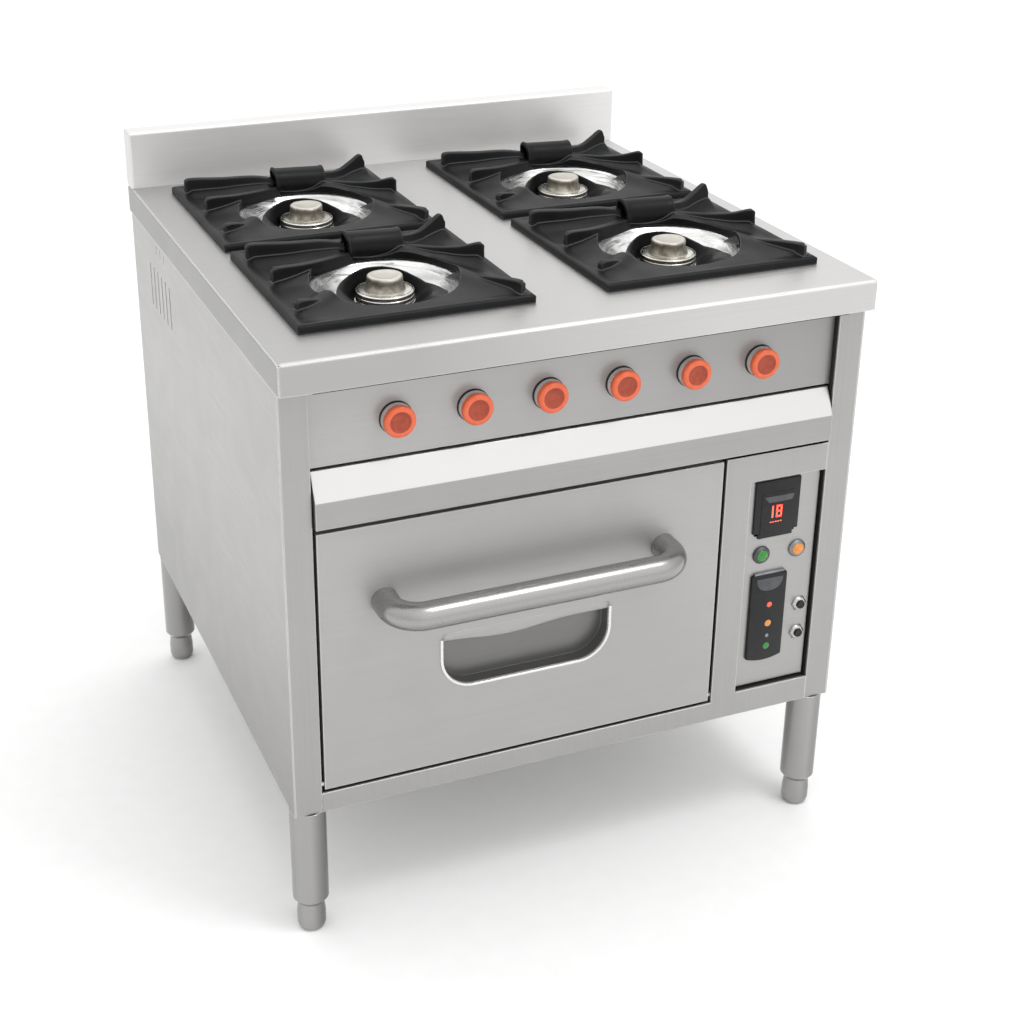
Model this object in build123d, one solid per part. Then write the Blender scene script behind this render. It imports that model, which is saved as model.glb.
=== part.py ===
from build123d import *
import os
from math import atan2, degrees, hypot

# Four-burner commercial gas range with a drop-down oven door.
# Frame: +Z up, +X to the right of someone facing the front, the front faces -Y.
# Origin: on the floor, below the centre of the overall box, handle included.
# The pieces are laid out about the centre of the worktop and moved back by CENTRE_SHIFT at
# the end.  All sizes are millimetres.

# ---------------------------------------------------------------- overall sizes
WIDTH = 900
DEPTH = 900
WORKTOP_Z = 925
SPLASH_HEIGHT = 95
SPLASH_DEPTH = 40
APRON = 46
SHEET = 2
GAP = 0.4

# ---------------------------------------------------------------- cabinet
CABINET_BOTTOM = 215
SIDE_X = 447
FRONT_Y = -428
REAR_Y = 445
POST = 40
POST_X = SIDE_X - SHEET
POST_INNER_X = POST_X - POST
APRON_Z = WORKTOP_Z - APRON
UNDER_TOP_Z = WORKTOP_Z - SHEET
LOUVRE_COUNT = 6
LOUVRE_PITCH = 27
LOUVRE_FIRST_Y = 183
LOUVRE_Z = 787
LOUVRE_HEIGHT = 75
LOUVRE_WIDTH = 7
SHORT_LOUVRE_Z = 861
SHORT_LOUVRE_HEIGHT = 18

# ---------------------------------------------------------------- front layout
SILL_TOP = 247
DIVIDER_X = 232
NICHE_LEFT = 275
NICHE_RIGHT = POST_INNER_X
NICHE_BOTTOM = 256
NICHE_TOP = 622
NICHE_DEPTH = 8
NICHE_RETURN = 14
NICHE_GAP = 5
NICHE_Y = FRONT_Y + NICHE_DEPTH
PANEL_Y = FRONT_Y + 12
PANEL_BOTTOM = 758
FRAME_TOP = 666

# ---------------------------------------------------------------- drip tray
TRAY_FRONT_Y = FRONT_Y - 8
TRAY_FOLD_Z = 714
TRAY_BOTTOM = 674
TRAY_TOP = 753
TRAY_HALF_WIDTH = 402
TRAY_PAN_BOTTOM = 682
TRAY_PAN_TOP = 704
TRAY_REAR_Y = 370

# ---------------------------------------------------------------- oven and door
DOOR_LEFT = -400
DOOR_RIGHT = 226
DOOR_BOTTOM = 253
DOOR_TOP = 664
DOOR_BACK_Y = -392
HINGE_Y = -420
HINGE_Z = 259
PIN_RADIUS = 4
PIN_CLEARANCE = 0.05
CAVITY_LEFT = -375
CAVITY_RIGHT = 200
CAVITY_BOTTOM = 272
CAVITY_TOP = 648
CAVITY_REAR_Y = 380
LINER_FRONT_Y = -388
PLUG_MARGIN = 10
PLUG_DEPTH = 18
HANDLE_Z = 545
HANDLE_HALF_SPAN = 218
HANDLE_STANDOFF = 62
HANDLE_RADIUS = 20
HANDLE_BEND = 41
POCKET_CENTRE_X = -86
POCKET_WIDTH = 262
POCKET_BOTTOM = 380
POCKET_TOP = 462
POCKET_CORNER = 48
POCKET_DEPTH = 24
RACK_Z = 450
RACK_WIRE = 3
RACK_FRONT_Y = -310
RACK_REAR_Y = 330

# ---------------------------------------------------------------- hob
HOB_X = (-222, 232)
HOB_Y = (-186, 188)
BURNER_SHIFT = -30
HOB_PLACES = {
    "front_left": (HOB_X[0], HOB_Y[0]),
    "front_right": (HOB_X[1], HOB_Y[0]),
    "rear_left": (HOB_X[0], HOB_Y[1]),
    "rear_right": (HOB_X[1], HOB_Y[1]),
}
TOP_HOLE_RADIUS = 117
BOWL_RIM_RADIUS = 125
BOWL_MOUTH_RADIUS = 114
BOWL_FLOOR_RADIUS = 48
BOWL_FLOOR_Z = 882
STACK_RADIUS = 41
STACK_BOTTOM = 903
STACK_TOP = 922
STACK_RINGS = 3
CAP_RADIUS = 30
CAP_TOP = 944
GRATE_SIZE = 344
GRATE_BOTTOM = WORKTOP_Z + GAP
GRATE_TOP = 938
GRATE_HOLE = 108
WEB_BEHIND = 52
WEB_WIDTH = 8
WEB_FOOT = 930
SADDLE_RADIUS = 24
SADDLE_X = (-16, 68)
SADDLE_Y = 84
SADDLE_SPRING_Z = 953

# ---------------------------------------------------------------- controls
KNOB_COUNT = 6
KNOB_PITCH = 112
KNOB_Z = 813
KNOB_RADIUS = 23
KNOB_FRONT_Y = PANEL_Y - 21
STEM_RADIUS = 4
VALVE_RADIUS = 12
VALVE_Y = (-404, -388)
MANIFOLD_Y = -375
MANIFOLD_RADIUS = 13
SUPPLY_X = 385
INLET_BORE = 12.1
INLET_LENGTH = 16
TUBE_RADIUS = 8
BUTTON_X = 383
BUTTON_Z = {"upper": 391, "lower": 340}
BUTTON_RADIUS = 7
BUTTON_FRONT_Y = NICHE_Y - 9
NUT_RADIUS = 12.5
NUT_FRONT_Y = NICHE_Y - 5
LAMP_X = {"green": 307, "amber": 370}
LAMP_Z = 491
LAMP_RADIUS = 14.5
LAMP_FRONT_Y = NICHE_Y - 8
LAMP_BODY_RADIUS = 11
CONTROLLER = (288, 366, 520, 616)
CONTROLLER_FRONT_Y = NICHE_Y - 6
CONTROLLER_DEPTH = 60
TIMER = (292, 355, 303, 457)
TIMER_FRONT_Y = NICHE_Y - 7
TIMER_DEPTH = 50

# ---------------------------------------------------------------- legs
LEG_RADIUS = 27
LEG_X = 421
LEG_Y = {"front": -404, "rear": 423}
LEG_BOTTOM = 48
LEG_WALL = 2
FOOT_STEM = 12

# ---------------------------------------------------------------- sizes worked out from the above
DOOR_MIDDLE_X = (DOOR_LEFT + DOOR_RIGHT) / 2
RAIL_Z = 860
RAIL_HEIGHT = 12
OVEN_BURNER_Z = CAVITY_BOTTOM + 14
OVEN_VALVES = (2, 3)
OVEN_FEEDS = (
    (CAVITY_RIGHT, -330, OVEN_BURNER_Z),
    (CAVITY_RIGHT, -300, OVEN_BURNER_Z),
)
HOB_VALVES = {0: "front_left", 1: "rear_left", 4: "rear_right", 5: "front_right"}
OVEN_COLUMN_X = 425
HANDLE_FRONT_Y = FRONT_Y - HANDLE_STANDOFF - HANDLE_RADIUS
CENTRE_SHIFT = -(HANDLE_FRONT_Y + DEPTH / 2) / 2
GLAND_X = 320
GLAND_Z = 300
GLAND_RADIUS = 10
GLAND_BORE = 6


# ---------------------------------------------------------------- small helpers
def block(x0, x1, y0, y1, z0, z1):
    """Rectangular solid between two opposite corners."""
    centre = Pos((x0 + x1) / 2, (y0 + y1) / 2, (z0 + z1) / 2)
    return centre * Box(x1 - x0, y1 - y0, z1 - z0)


def rod_x(y, z, x0, x1, radius):
    """Cylinder along X."""
    return Pos((x0 + x1) / 2, y, z) * Rot(0, 90, 0) * Cylinder(radius, x1 - x0)


def rod_y(x, z, y0, y1, radius):
    """Cylinder along Y."""
    return Pos(x, (y0 + y1) / 2, z) * Rot(90, 0, 0) * Cylinder(radius, y1 - y0)


def rod_z(x, y, z0, z1, radius):
    """Upright cylinder."""
    return Pos(x, y, (z0 + z1) / 2) * Cylinder(radius, z1 - z0)


def group(solids):
    """Separate solids that share one node."""
    return Compound(children=list(solids))


def turned(outline):
    """Solid of revolution about Z from (radius, height) points."""
    face = make_face(Plane.XZ * Polyline(*outline, close=True))
    return revolve(face, axis=Axis.Z)


def along_x(outline, x0, x1):
    """Prism along X from (y, z) points."""
    face = make_face(Plane.YZ * Polyline(*outline, close=True))
    return Pos(x0, 0, 0) * extrude(face, amount=x1 - x0, dir=(1, 0, 0))


def pipe(points, radius, bend, bore=0):
    """Round tube along straight runs joined by arcs."""
    path = FilletPolyline(*points, radius=bend)
    section = Plane(origin=path @ 0, z_dir=path % 0)
    solid = sweep(section * Circle(radius), path=path)
    if bore:
        solid -= sweep(section * Circle(bore), path=path)
    return solid


def slot_cutter(y, z, height, width, x0, x1):
    """Round-ended upright slot that cuts along X."""
    ends = (z - height / 2 + width / 2, z + height / 2 - width / 2)
    cutter = block(x0, x1, y - width / 2, y + width / 2, ends[0], ends[1])
    for end in ends:
        cutter += rod_x(y, end, x0, x1, width / 2)
    return cutter


# ---------------------------------------------------------------- frame and sheet work
def corner_posts():
    """Four square tubes that carry the worktop."""
    posts = []
    for x_side in (-1, 1):
        for y0 in (FRONT_Y, REAR_Y - POST):
            inner = POST / 2 - SHEET
            x = x_side * (POST_X - POST / 2)
            y = y0 + POST / 2
            post = block(x - POST / 2, x + POST / 2, y0, y0 + POST, CABINET_BOTTOM, UNDER_TOP_Z)
            post -= block(x - inner, x + inner, y - inner, y + inner, CABINET_BOTTOM, UNDER_TOP_Z)
            if y0 == FRONT_Y and x_side < 0:
                post -= rod_x(HINGE_Y, HINGE_Z, x, x + POST, PIN_RADIUS + SHEET)
            posts.append(post)
    return group(posts)


def front_frame():
    """Sill, oven divider and the surround of the control niche, folded from sheet."""
    sill = block(-POST_INNER_X, POST_INNER_X, FRONT_Y, FRONT_Y + POST, CABINET_BOTTOM, SILL_TOP)
    sill -= block(
        -POST_INNER_X, POST_INNER_X,
        FRONT_Y + SHEET, FRONT_Y + POST, CABINET_BOTTOM + SHEET, SILL_TOP - SHEET,
    )
    face = block(DIVIDER_X, POST_INNER_X, FRONT_Y, FRONT_Y + SHEET, SILL_TOP, FRAME_TOP)
    face -= block(NICHE_LEFT, NICHE_RIGHT, FRONT_Y, FRONT_Y + SHEET, NICHE_BOTTOM, NICHE_TOP)
    divider = block(DIVIDER_X, DIVIDER_X + SHEET, FRONT_Y, FRONT_Y + POST, SILL_TOP, FRAME_TOP)
    divider -= rod_x(HINGE_Y, HINGE_Z, DIVIDER_X, DIVIDER_X + SHEET, PIN_RADIUS + SHEET / 2)
    back = FRONT_Y + NICHE_RETURN
    returns = block(
        NICHE_LEFT - SHEET, NICHE_RIGHT, FRONT_Y, back, NICHE_BOTTOM - SHEET, NICHE_TOP + SHEET
    )
    returns -= block(NICHE_LEFT, NICHE_RIGHT, FRONT_Y, back, NICHE_BOTTOM, NICHE_TOP)
    return sill + face + divider + returns


def side_panel(side):
    """Outer side sheet with a bank of upright ventilation slots."""
    x0 = min(side * SIDE_X, side * POST_X)
    panel = block(x0, x0 + SHEET, FRONT_Y, REAR_Y, CABINET_BOTTOM, UNDER_TOP_Z)
    for index in range(LOUVRE_COUNT):
        y = LOUVRE_FIRST_Y + index * LOUVRE_PITCH
        panel -= slot_cutter(y, LOUVRE_Z, LOUVRE_HEIGHT, LOUVRE_WIDTH, x0, x0 + SHEET)
    for index in range(1, LOUVRE_COUNT // 2 + 1):
        y = LOUVRE_FIRST_Y + index * LOUVRE_PITCH
        panel -= slot_cutter(
            y, SHORT_LOUVRE_Z, SHORT_LOUVRE_HEIGHT, LOUVRE_WIDTH - SHEET, x0, x0 + SHEET
        )
    return panel


def rear_panel():
    """Back sheet with the gas inlet hole, the gland hole and a row of vents."""
    panel = block(-POST_X, POST_X, REAR_Y, REAR_Y + SHEET, CABINET_BOTTOM, UNDER_TOP_Z)
    panel -= rod_y(SUPPLY_X, KNOB_Z, REAR_Y, REAR_Y + SHEET, INLET_BORE + 5)
    panel -= rod_y(GLAND_X, GLAND_Z, REAR_Y, REAR_Y + SHEET, GLAND_RADIUS)
    for index in range(-5, 6):
        x = index * 2 * LOUVRE_PITCH
        panel -= block(x - 20, x + 20, REAR_Y, REAR_Y + SHEET, LOUVRE_Z, LOUVRE_Z + LOUVRE_WIDTH)
    return panel


def base_panel():
    """Bottom sheet between the posts."""
    panel = block(
        -POST_X, POST_X, FRONT_Y + POST, REAR_Y, CABINET_BOTTOM, CABINET_BOTTOM + SHEET
    )
    for side in (-1, 1):
        x0 = min(side * POST_X, side * POST_INNER_X)
        panel -= block(
            x0, x0 + POST, REAR_Y - POST, REAR_Y, CABINET_BOTTOM, CABINET_BOTTOM + SHEET
        )
    return panel


def worktop():
    """Pressed top with a folded apron all round and four burner holes."""
    top = block(-WIDTH / 2, WIDTH / 2, -DEPTH / 2, DEPTH / 2, APRON_Z, WORKTOP_Z)
    top = fillet(top.edges().filter_by(Axis.Z) + top.edges().group_by(Axis.Z)[-1], 3 * SHEET)
    inset = SHEET
    top -= block(
        inset - WIDTH / 2, WIDTH / 2 - inset, inset - DEPTH / 2, DEPTH / 2 - inset,
        APRON_Z, UNDER_TOP_Z,
    )
    for x, y in HOB_PLACES.values():
        top -= rod_z(x, y + BURNER_SHIFT, UNDER_TOP_Z, WORKTOP_Z, TOP_HOLE_RADIUS)
    return top


def backsplash():
    """Boxed upstand along the rear edge of the worktop."""
    y0 = DEPTH / 2 - SPLASH_DEPTH
    top_z = WORKTOP_Z + SPLASH_HEIGHT
    splash = block(-WIDTH / 2, WIDTH / 2, y0, DEPTH / 2, WORKTOP_Z, top_z)
    splash = fillet(splash.edges().filter_by(Axis.Z) + splash.edges().group_by(Axis.Z)[-1], 2 * SHEET)
    splash -= block(
        SHEET - WIDTH / 2, WIDTH / 2 - SHEET, y0 + SHEET, DEPTH / 2 - SHEET,
        WORKTOP_Z, top_z - SHEET,
    )
    landing = block(SHEET - WIDTH / 2, WIDTH / 2 - SHEET, y0, y0 + SPLASH_DEPTH / 4,
                    WORKTOP_Z, WORKTOP_Z + SHEET)
    return splash + landing


def knob_x(index):
    """X of a knob, counted from the left."""
    return (index - (KNOB_COUNT - 1) / 2) * KNOB_PITCH


def control_panel():
    """Recessed sheet behind the knobs."""
    edge = POST_INNER_X - 1
    panel = block(-edge, edge, PANEL_Y, PANEL_Y + SHEET, PANEL_BOTTOM, UNDER_TOP_Z)
    for index in range(KNOB_COUNT):
        panel -= rod_y(knob_x(index), KNOB_Z, PANEL_Y, PANEL_Y + SHEET, STEM_RADIUS + SHEET)
    return panel


def niche_panel():
    """Recessed instrument sheet with its cut-outs, open in a slot at its right and foot."""
    panel = block(
        NICHE_LEFT, NICHE_RIGHT - NICHE_GAP, NICHE_Y, NICHE_Y + SHEET,
        NICHE_BOTTOM + NICHE_GAP, NICHE_TOP,
    )
    for x0, x1, z0, z1 in (CONTROLLER, TIMER):
        panel -= block(x0 + 4, x1 - 4, NICHE_Y, NICHE_Y + SHEET, z0 + 4, z1 - 4)
    for x in LAMP_X.values():
        panel -= rod_y(x, LAMP_Z, NICHE_Y, NICHE_Y + SHEET, LAMP_BODY_RADIUS)
    for z in BUTTON_Z.values():
        panel -= rod_y(BUTTON_X, z, NICHE_Y, NICHE_Y + SHEET, BUTTON_RADIUS + SHEET)
    return panel


def inner_rails():
    """Two cross rails under the burners and two runners for the drip tray."""
    rails = []
    for _, y in (HOB_PLACES["front_left"], HOB_PLACES["rear_left"]):
        middle = y + BURNER_SHIFT
        rail = block(-POST_X, POST_X, middle - 20, middle + 20, RAIL_Z, RAIL_Z + RAIL_HEIGHT)
        rail -= block(
            -POST_X, POST_X, middle - 18, middle + 18, RAIL_Z, RAIL_Z + RAIL_HEIGHT - SHEET
        )
        for x in HOB_X:
            rail -= rod_z(x, middle, RAIL_Z, RAIL_Z + RAIL_HEIGHT, 16)
        rails.append(rail)
    for side in (-1, 1):
        outer = side * POST_X
        lip = side * (TRAY_HALF_WIDTH - 12)
        x0, x1 = min(outer, lip), max(outer, lip)
        web = block(
            x0, x1, FRONT_Y + POST, REAR_Y - POST,
            TRAY_PAN_BOTTOM - SHEET - GAP, TRAY_PAN_BOTTOM - GAP,
        )
        for _, lane, _ in OVEN_FEEDS:
            web -= rod_z(OVEN_COLUMN_X, lane, TRAY_PAN_BOTTOM - 2 * SHEET, TRAY_PAN_BOTTOM, TUBE_RADIUS)
        rails.append(web)
    return group(rails)


# ---------------------------------------------------------------- legs
def leg_tubes():
    """Four round legs with a tapered foot end, welded under the base corners."""
    legs = []
    for x in (-LEG_X, LEG_X):
        for y in LEG_Y.values():
            neck = LEG_RADIUS - 6.5
            bore = LEG_RADIUS - LEG_WALL
            outline = [
                (FOOT_STEM + 0.5, LEG_BOTTOM), (neck, LEG_BOTTOM), (LEG_RADIUS, LEG_BOTTOM + 9),
                (LEG_RADIUS, CABINET_BOTTOM), (bore, CABINET_BOTTOM), (bore, LEG_BOTTOM + 14),
                (FOOT_STEM + 0.5, LEG_BOTTOM + 14),
            ]
            legs.append(Pos(x, y, 0) * turned(outline))
    return group(legs)


def foot(x, y):
    """Bullet foot on a threaded stem that screws out of its leg."""
    top = LEG_BOTTOM - GAP
    outline = [
        (0, 0), (15, 0), (19.5, 3), (21.5, 10), (21.5, 28), (20.5, 37), (19.5, top), (FOOT_STEM, top),
        (FOOT_STEM, top + 46), (0, top + 46),
    ]
    return Pos(x, y, 0) * turned(outline)


# ---------------------------------------------------------------- oven
def oven_liner():
    """Enamelled oven box with a flange that closes the front opening."""
    box = block(
        CAVITY_LEFT - SHEET, CAVITY_RIGHT + SHEET, LINER_FRONT_Y, CAVITY_REAR_Y + SHEET,
        CAVITY_BOTTOM - SHEET, CAVITY_TOP + SHEET,
    )
    flange = block(
        -POST_INNER_X, DIVIDER_X, LINER_FRONT_Y, LINER_FRONT_Y + SHEET, SILL_TOP, FRAME_TOP
    )
    liner = box + flange
    liner -= block(
        CAVITY_LEFT, CAVITY_RIGHT, LINER_FRONT_Y, CAVITY_REAR_Y, CAVITY_BOTTOM, CAVITY_TOP
    )
    for x, y, z in OVEN_FEEDS:
        liner -= rod_x(y, z, CAVITY_RIGHT, CAVITY_RIGHT + SHEET, TUBE_RADIUS)
    return liner


def oven_insulation():
    """Mineral wool sleeve round the oven box."""
    wool = block(
        -POST_X + SHEET, DIVIDER_X - SHEET, LINER_FRONT_Y + 2 * SHEET, CAVITY_REAR_Y + 20,
        CABINET_BOTTOM + 2 * SHEET, FRAME_TOP - 2 * SHEET,
    )
    wool -= block(
        CAVITY_LEFT - SHEET, CAVITY_RIGHT + SHEET, LINER_FRONT_Y, CAVITY_REAR_Y + SHEET,
        CAVITY_BOTTOM - SHEET, CAVITY_TOP + SHEET,
    )
    for x, y, z in OVEN_FEEDS:
        wool -= rod_x(y, z, CAVITY_RIGHT, DIVIDER_X, TUBE_RADIUS + SHEET)
    return wool


def rack_guides():
    """Side ladders that hold the oven rack at three heights."""
    guides = []
    for side, wall in ((1, CAVITY_LEFT), (-1, CAVITY_RIGHT)):
        inner = wall + side * 10
        ladder = block(
            min(wall, wall + side * 2), max(wall, wall + side * 2), -300, 330,
            RACK_Z - 100, RACK_Z + 100,
        )
        for step in (-80, 0, 80):
            ladder += block(
                min(wall, inner), max(wall, inner), -300, 330,
                RACK_Z + step - 5.4, RACK_Z + step - 3.4,
            )
        guides.append(ladder)
    return group(guides)


def oven_rack():
    """Wire rack that slides on the ladders."""
    z = RACK_Z
    x0, x1 = CAVITY_LEFT + 6, CAVITY_RIGHT - 6
    wires = rod_y(x0, z, RACK_FRONT_Y, RACK_REAR_Y, RACK_WIRE)
    wires += rod_y(x1, z, RACK_FRONT_Y, RACK_REAR_Y, RACK_WIRE)
    wires += rod_x(RACK_FRONT_Y, z, x0, x1, RACK_WIRE)
    wires += rod_x(RACK_REAR_Y, z, x0, x1, RACK_WIRE)
    count = 12
    for index in range(1, count):
        x = x0 + (x1 - x0) * index / count
        wires += rod_y(x, z, RACK_FRONT_Y, RACK_REAR_Y, RACK_WIRE * 0.7)
    for x, y in ((x0, RACK_FRONT_Y), (x1, RACK_FRONT_Y), (x0, RACK_REAR_Y), (x1, RACK_REAR_Y)):
        wires += Pos(x, y, z) * Sphere(RACK_WIRE)
    return wires


def oven_burner():
    """Two burner tubes below the oven floor, joined by a cross tube."""
    z = OVEN_BURNER_Z
    burner = rod_x(OVEN_FEEDS[0][1], z, CAVITY_LEFT + 60, CAVITY_RIGHT, TUBE_RADIUS)
    for x in (-260, 85):
        burner += rod_y(x, z, OVEN_FEEDS[0][1], 300, TUBE_RADIUS + 1)
        burner += block(x - 12, x + 12, 250, 260, CAVITY_BOTTOM, z)
    return burner


def oven_floor():
    """Lift-out sole plate over the oven burner, on two folded feet."""
    z = CAVITY_BOTTOM + 30
    plate = block(CAVITY_LEFT + 3, CAVITY_RIGHT - 3, -350, CAVITY_REAR_Y - 20, z, z + SHEET)
    for x in (CAVITY_LEFT + 3, CAVITY_RIGHT - 3 - SHEET):
        plate += block(x, x + SHEET, -320, CAVITY_REAR_Y - 20, CAVITY_BOTTOM, z)
    return plate


# ---------------------------------------------------------------- oven door
def pocket_outline(grow=0.0):
    """D-shaped finger pocket: straight top, large lower corners."""
    width = POCKET_WIDTH + 2 * grow
    height = POCKET_TOP - POCKET_BOTTOM + 2 * grow
    outline = Rectangle(width, height)
    outline = fillet(outline.vertices().group_by(Axis.Y)[0], POCKET_CORNER + grow)
    return outline


def pocket_solid(y0, y1, grow=0.0):
    """Pocket shape pushed in along +Y."""
    centre_z = (POCKET_TOP + POCKET_BOTTOM) / 2
    plane = Plane(origin=(POCKET_CENTRE_X, y1, centre_z), x_dir=(1, 0, 0), z_dir=(0, -1, 0))
    return extrude(plane * pocket_outline(grow), amount=y1 - y0)


def door_skin():
    """Outer door pressing: front face and four folded sides."""
    skin = block(DOOR_LEFT, DOOR_RIGHT, FRONT_Y, DOOR_BACK_Y - SHEET, DOOR_BOTTOM, DOOR_TOP)
    skin -= block(
        DOOR_LEFT + SHEET, DOOR_RIGHT - SHEET, FRONT_Y + SHEET, DOOR_BACK_Y - SHEET,
        DOOR_BOTTOM + SHEET, DOOR_TOP - SHEET,
    )
    skin -= pocket_solid(FRONT_Y, FRONT_Y + SHEET)
    for x in (DOOR_LEFT, DOOR_RIGHT - SHEET):
        skin -= rod_x(HINGE_Y, HINGE_Z, x, x + SHEET, PIN_RADIUS)
    return skin


def door_pocket():
    """Pressed cup behind the finger opening, with a rolled lip."""
    cup = pocket_solid(FRONT_Y + SHEET, FRONT_Y + POCKET_DEPTH, SHEET)
    cup -= pocket_solid(FRONT_Y + SHEET, FRONT_Y + POCKET_DEPTH - SHEET)
    return cup


def door_insulation():
    """Mineral wool slab inside the door, cut round the pocket."""
    margin = 12
    slab = block(
        DOOR_LEFT + margin, DOOR_RIGHT - margin, FRONT_Y + 2 * SHEET, DOOR_BACK_Y - 2 * SHEET,
        DOOR_BOTTOM + margin + SHEET, DOOR_TOP - margin,
    )
    slab -= pocket_solid(FRONT_Y, DOOR_BACK_Y, 2 * SHEET)
    return slab


def door_liner():
    """Inner door sheet with a raised pan that plugs the oven mouth."""
    liner = block(DOOR_LEFT, DOOR_RIGHT, DOOR_BACK_Y - SHEET, DOOR_BACK_Y, DOOR_BOTTOM, DOOR_TOP)
    x0, x1 = CAVITY_LEFT + PLUG_MARGIN, CAVITY_RIGHT - PLUG_MARGIN
    z0, z1 = CAVITY_BOTTOM + PLUG_MARGIN, CAVITY_TOP - PLUG_MARGIN
    liner += block(x0, x1, DOOR_BACK_Y, DOOR_BACK_Y + PLUG_DEPTH, z0, z1)
    liner -= block(
        x0 + SHEET, x1 - SHEET, DOOR_BACK_Y - SHEET, DOOR_BACK_Y + PLUG_DEPTH - SHEET,
        z0 + SHEET, z1 - SHEET,
    )
    return liner


def door_gasket():
    """Heat-proof seal frame round the pan."""
    thick = LINER_FRONT_Y - DOOR_BACK_Y - GAP
    x0, x1 = CAVITY_LEFT - 6, CAVITY_RIGHT + 6
    z0, z1 = CAVITY_BOTTOM - 6, CAVITY_TOP + 6
    frame = block(x0 - 8, x1 + 8, DOOR_BACK_Y, DOOR_BACK_Y + thick, z0 - 8, z1 + 8)
    frame -= block(x0, x1, DOOR_BACK_Y, DOOR_BACK_Y + thick, z0, z1)
    return frame


def door_handle():
    """Thick round handle whose bent ends run into the door skin."""
    x0 = DOOR_MIDDLE_X - HANDLE_HALF_SPAN
    x1 = DOOR_MIDDLE_X + HANDLE_HALF_SPAN
    bar_y = FRONT_Y - HANDLE_STANDOFF
    points = [
        (x0, FRONT_Y, HANDLE_Z), (x0, bar_y, HANDLE_Z), (x1, bar_y, HANDLE_Z),
        (x1, FRONT_Y, HANDLE_Z),
    ]
    return pipe(points, HANDLE_RADIUS, HANDLE_BEND, HANDLE_RADIUS - SHEET)


def door_hinge_pins():
    """One pin at each lower corner of the door."""
    left = rod_x(HINGE_Y, HINGE_Z, -POST_INNER_X - 14, DOOR_LEFT + 8, PIN_RADIUS)
    right = rod_x(HINGE_Y, HINGE_Z, DOOR_RIGHT - 8, DIVIDER_X + 14, PIN_RADIUS)
    return group([left, right])


def hinge_bushes():
    """Flanged bushes in the left post and in the divider that the pins turn in."""
    bore = PIN_RADIUS + PIN_CLEARANCE
    left = rod_x(HINGE_Y, HINGE_Z, -POST_INNER_X - 16, -POST_INNER_X, PIN_RADIUS + SHEET / 2 + 1)
    left -= rod_x(HINGE_Y, HINGE_Z, -POST_INNER_X - 16, -POST_INNER_X, bore)
    right = rod_x(HINGE_Y, HINGE_Z, DIVIDER_X, DIVIDER_X + 16, PIN_RADIUS + SHEET / 2)
    right -= rod_x(HINGE_Y, HINGE_Z, DIVIDER_X, DIVIDER_X + 16, bore)
    return group([left, right])


# ---------------------------------------------------------------- drip tray
def drip_tray():
    """Pull-out tray: sloping folded front, closed ends and a shallow pan."""
    outline = [
        (PANEL_Y, TRAY_TOP), (TRAY_FRONT_Y, TRAY_FOLD_Z), (TRAY_FRONT_Y, TRAY_BOTTOM),
        (TRAY_FRONT_Y + 30, TRAY_BOTTOM), (TRAY_FRONT_Y + 30, TRAY_PAN_TOP),
        (PANEL_Y + 4 * SHEET, TRAY_TOP - 12), (PANEL_Y + 4 * SHEET, TRAY_TOP),
    ]
    hollow = [
        (PANEL_Y + SHEET, TRAY_TOP - SHEET), (TRAY_FRONT_Y + SHEET, TRAY_FOLD_Z - 1),
        (TRAY_FRONT_Y + SHEET, TRAY_BOTTOM + SHEET), (TRAY_FRONT_Y + 28, TRAY_BOTTOM + SHEET),
        (TRAY_FRONT_Y + 28, TRAY_PAN_TOP - 1), (PANEL_Y + 3 * SHEET, TRAY_TOP - 13),
        (PANEL_Y + 3 * SHEET, TRAY_TOP - SHEET),
    ]
    front = along_x(outline, -TRAY_HALF_WIDTH, TRAY_HALF_WIDTH)
    front -= along_x(hollow, SHEET - TRAY_HALF_WIDTH, TRAY_HALF_WIDTH - SHEET)
    edge = TRAY_HALF_WIDTH - 6
    start = TRAY_FRONT_Y + 30
    pan = block(-edge, edge, start, TRAY_REAR_Y, TRAY_PAN_BOTTOM, TRAY_PAN_TOP)
    pan -= block(
        SHEET - edge, edge - SHEET, start, TRAY_REAR_Y - SHEET,
        TRAY_PAN_BOTTOM + SHEET, TRAY_PAN_TOP,
    )
    return front + pan


# ---------------------------------------------------------------- hob pieces
def spill_bowls():
    """Polished bowl in each worktop hole, hung by its rolled rim."""
    bowls = []
    thick = 1.5
    for x, y in HOB_PLACES.values():
        outline = [
            (BOWL_FLOOR_RADIUS, BOWL_FLOOR_Z), (BOWL_FLOOR_RADIUS + 8, BOWL_FLOOR_Z),
            (BOWL_MOUTH_RADIUS + thick, WORKTOP_Z), (BOWL_RIM_RADIUS, WORKTOP_Z),
            (BOWL_RIM_RADIUS, WORKTOP_Z + thick), (BOWL_MOUTH_RADIUS, WORKTOP_Z + thick),
            (BOWL_FLOOR_RADIUS + 7, BOWL_FLOOR_Z + thick),
            (BOWL_FLOOR_RADIUS, BOWL_FLOOR_Z + thick),
        ]
        bowls.append(Pos(x, y + BURNER_SHIFT, 0) * turned(outline))
    return group(bowls)


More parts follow.
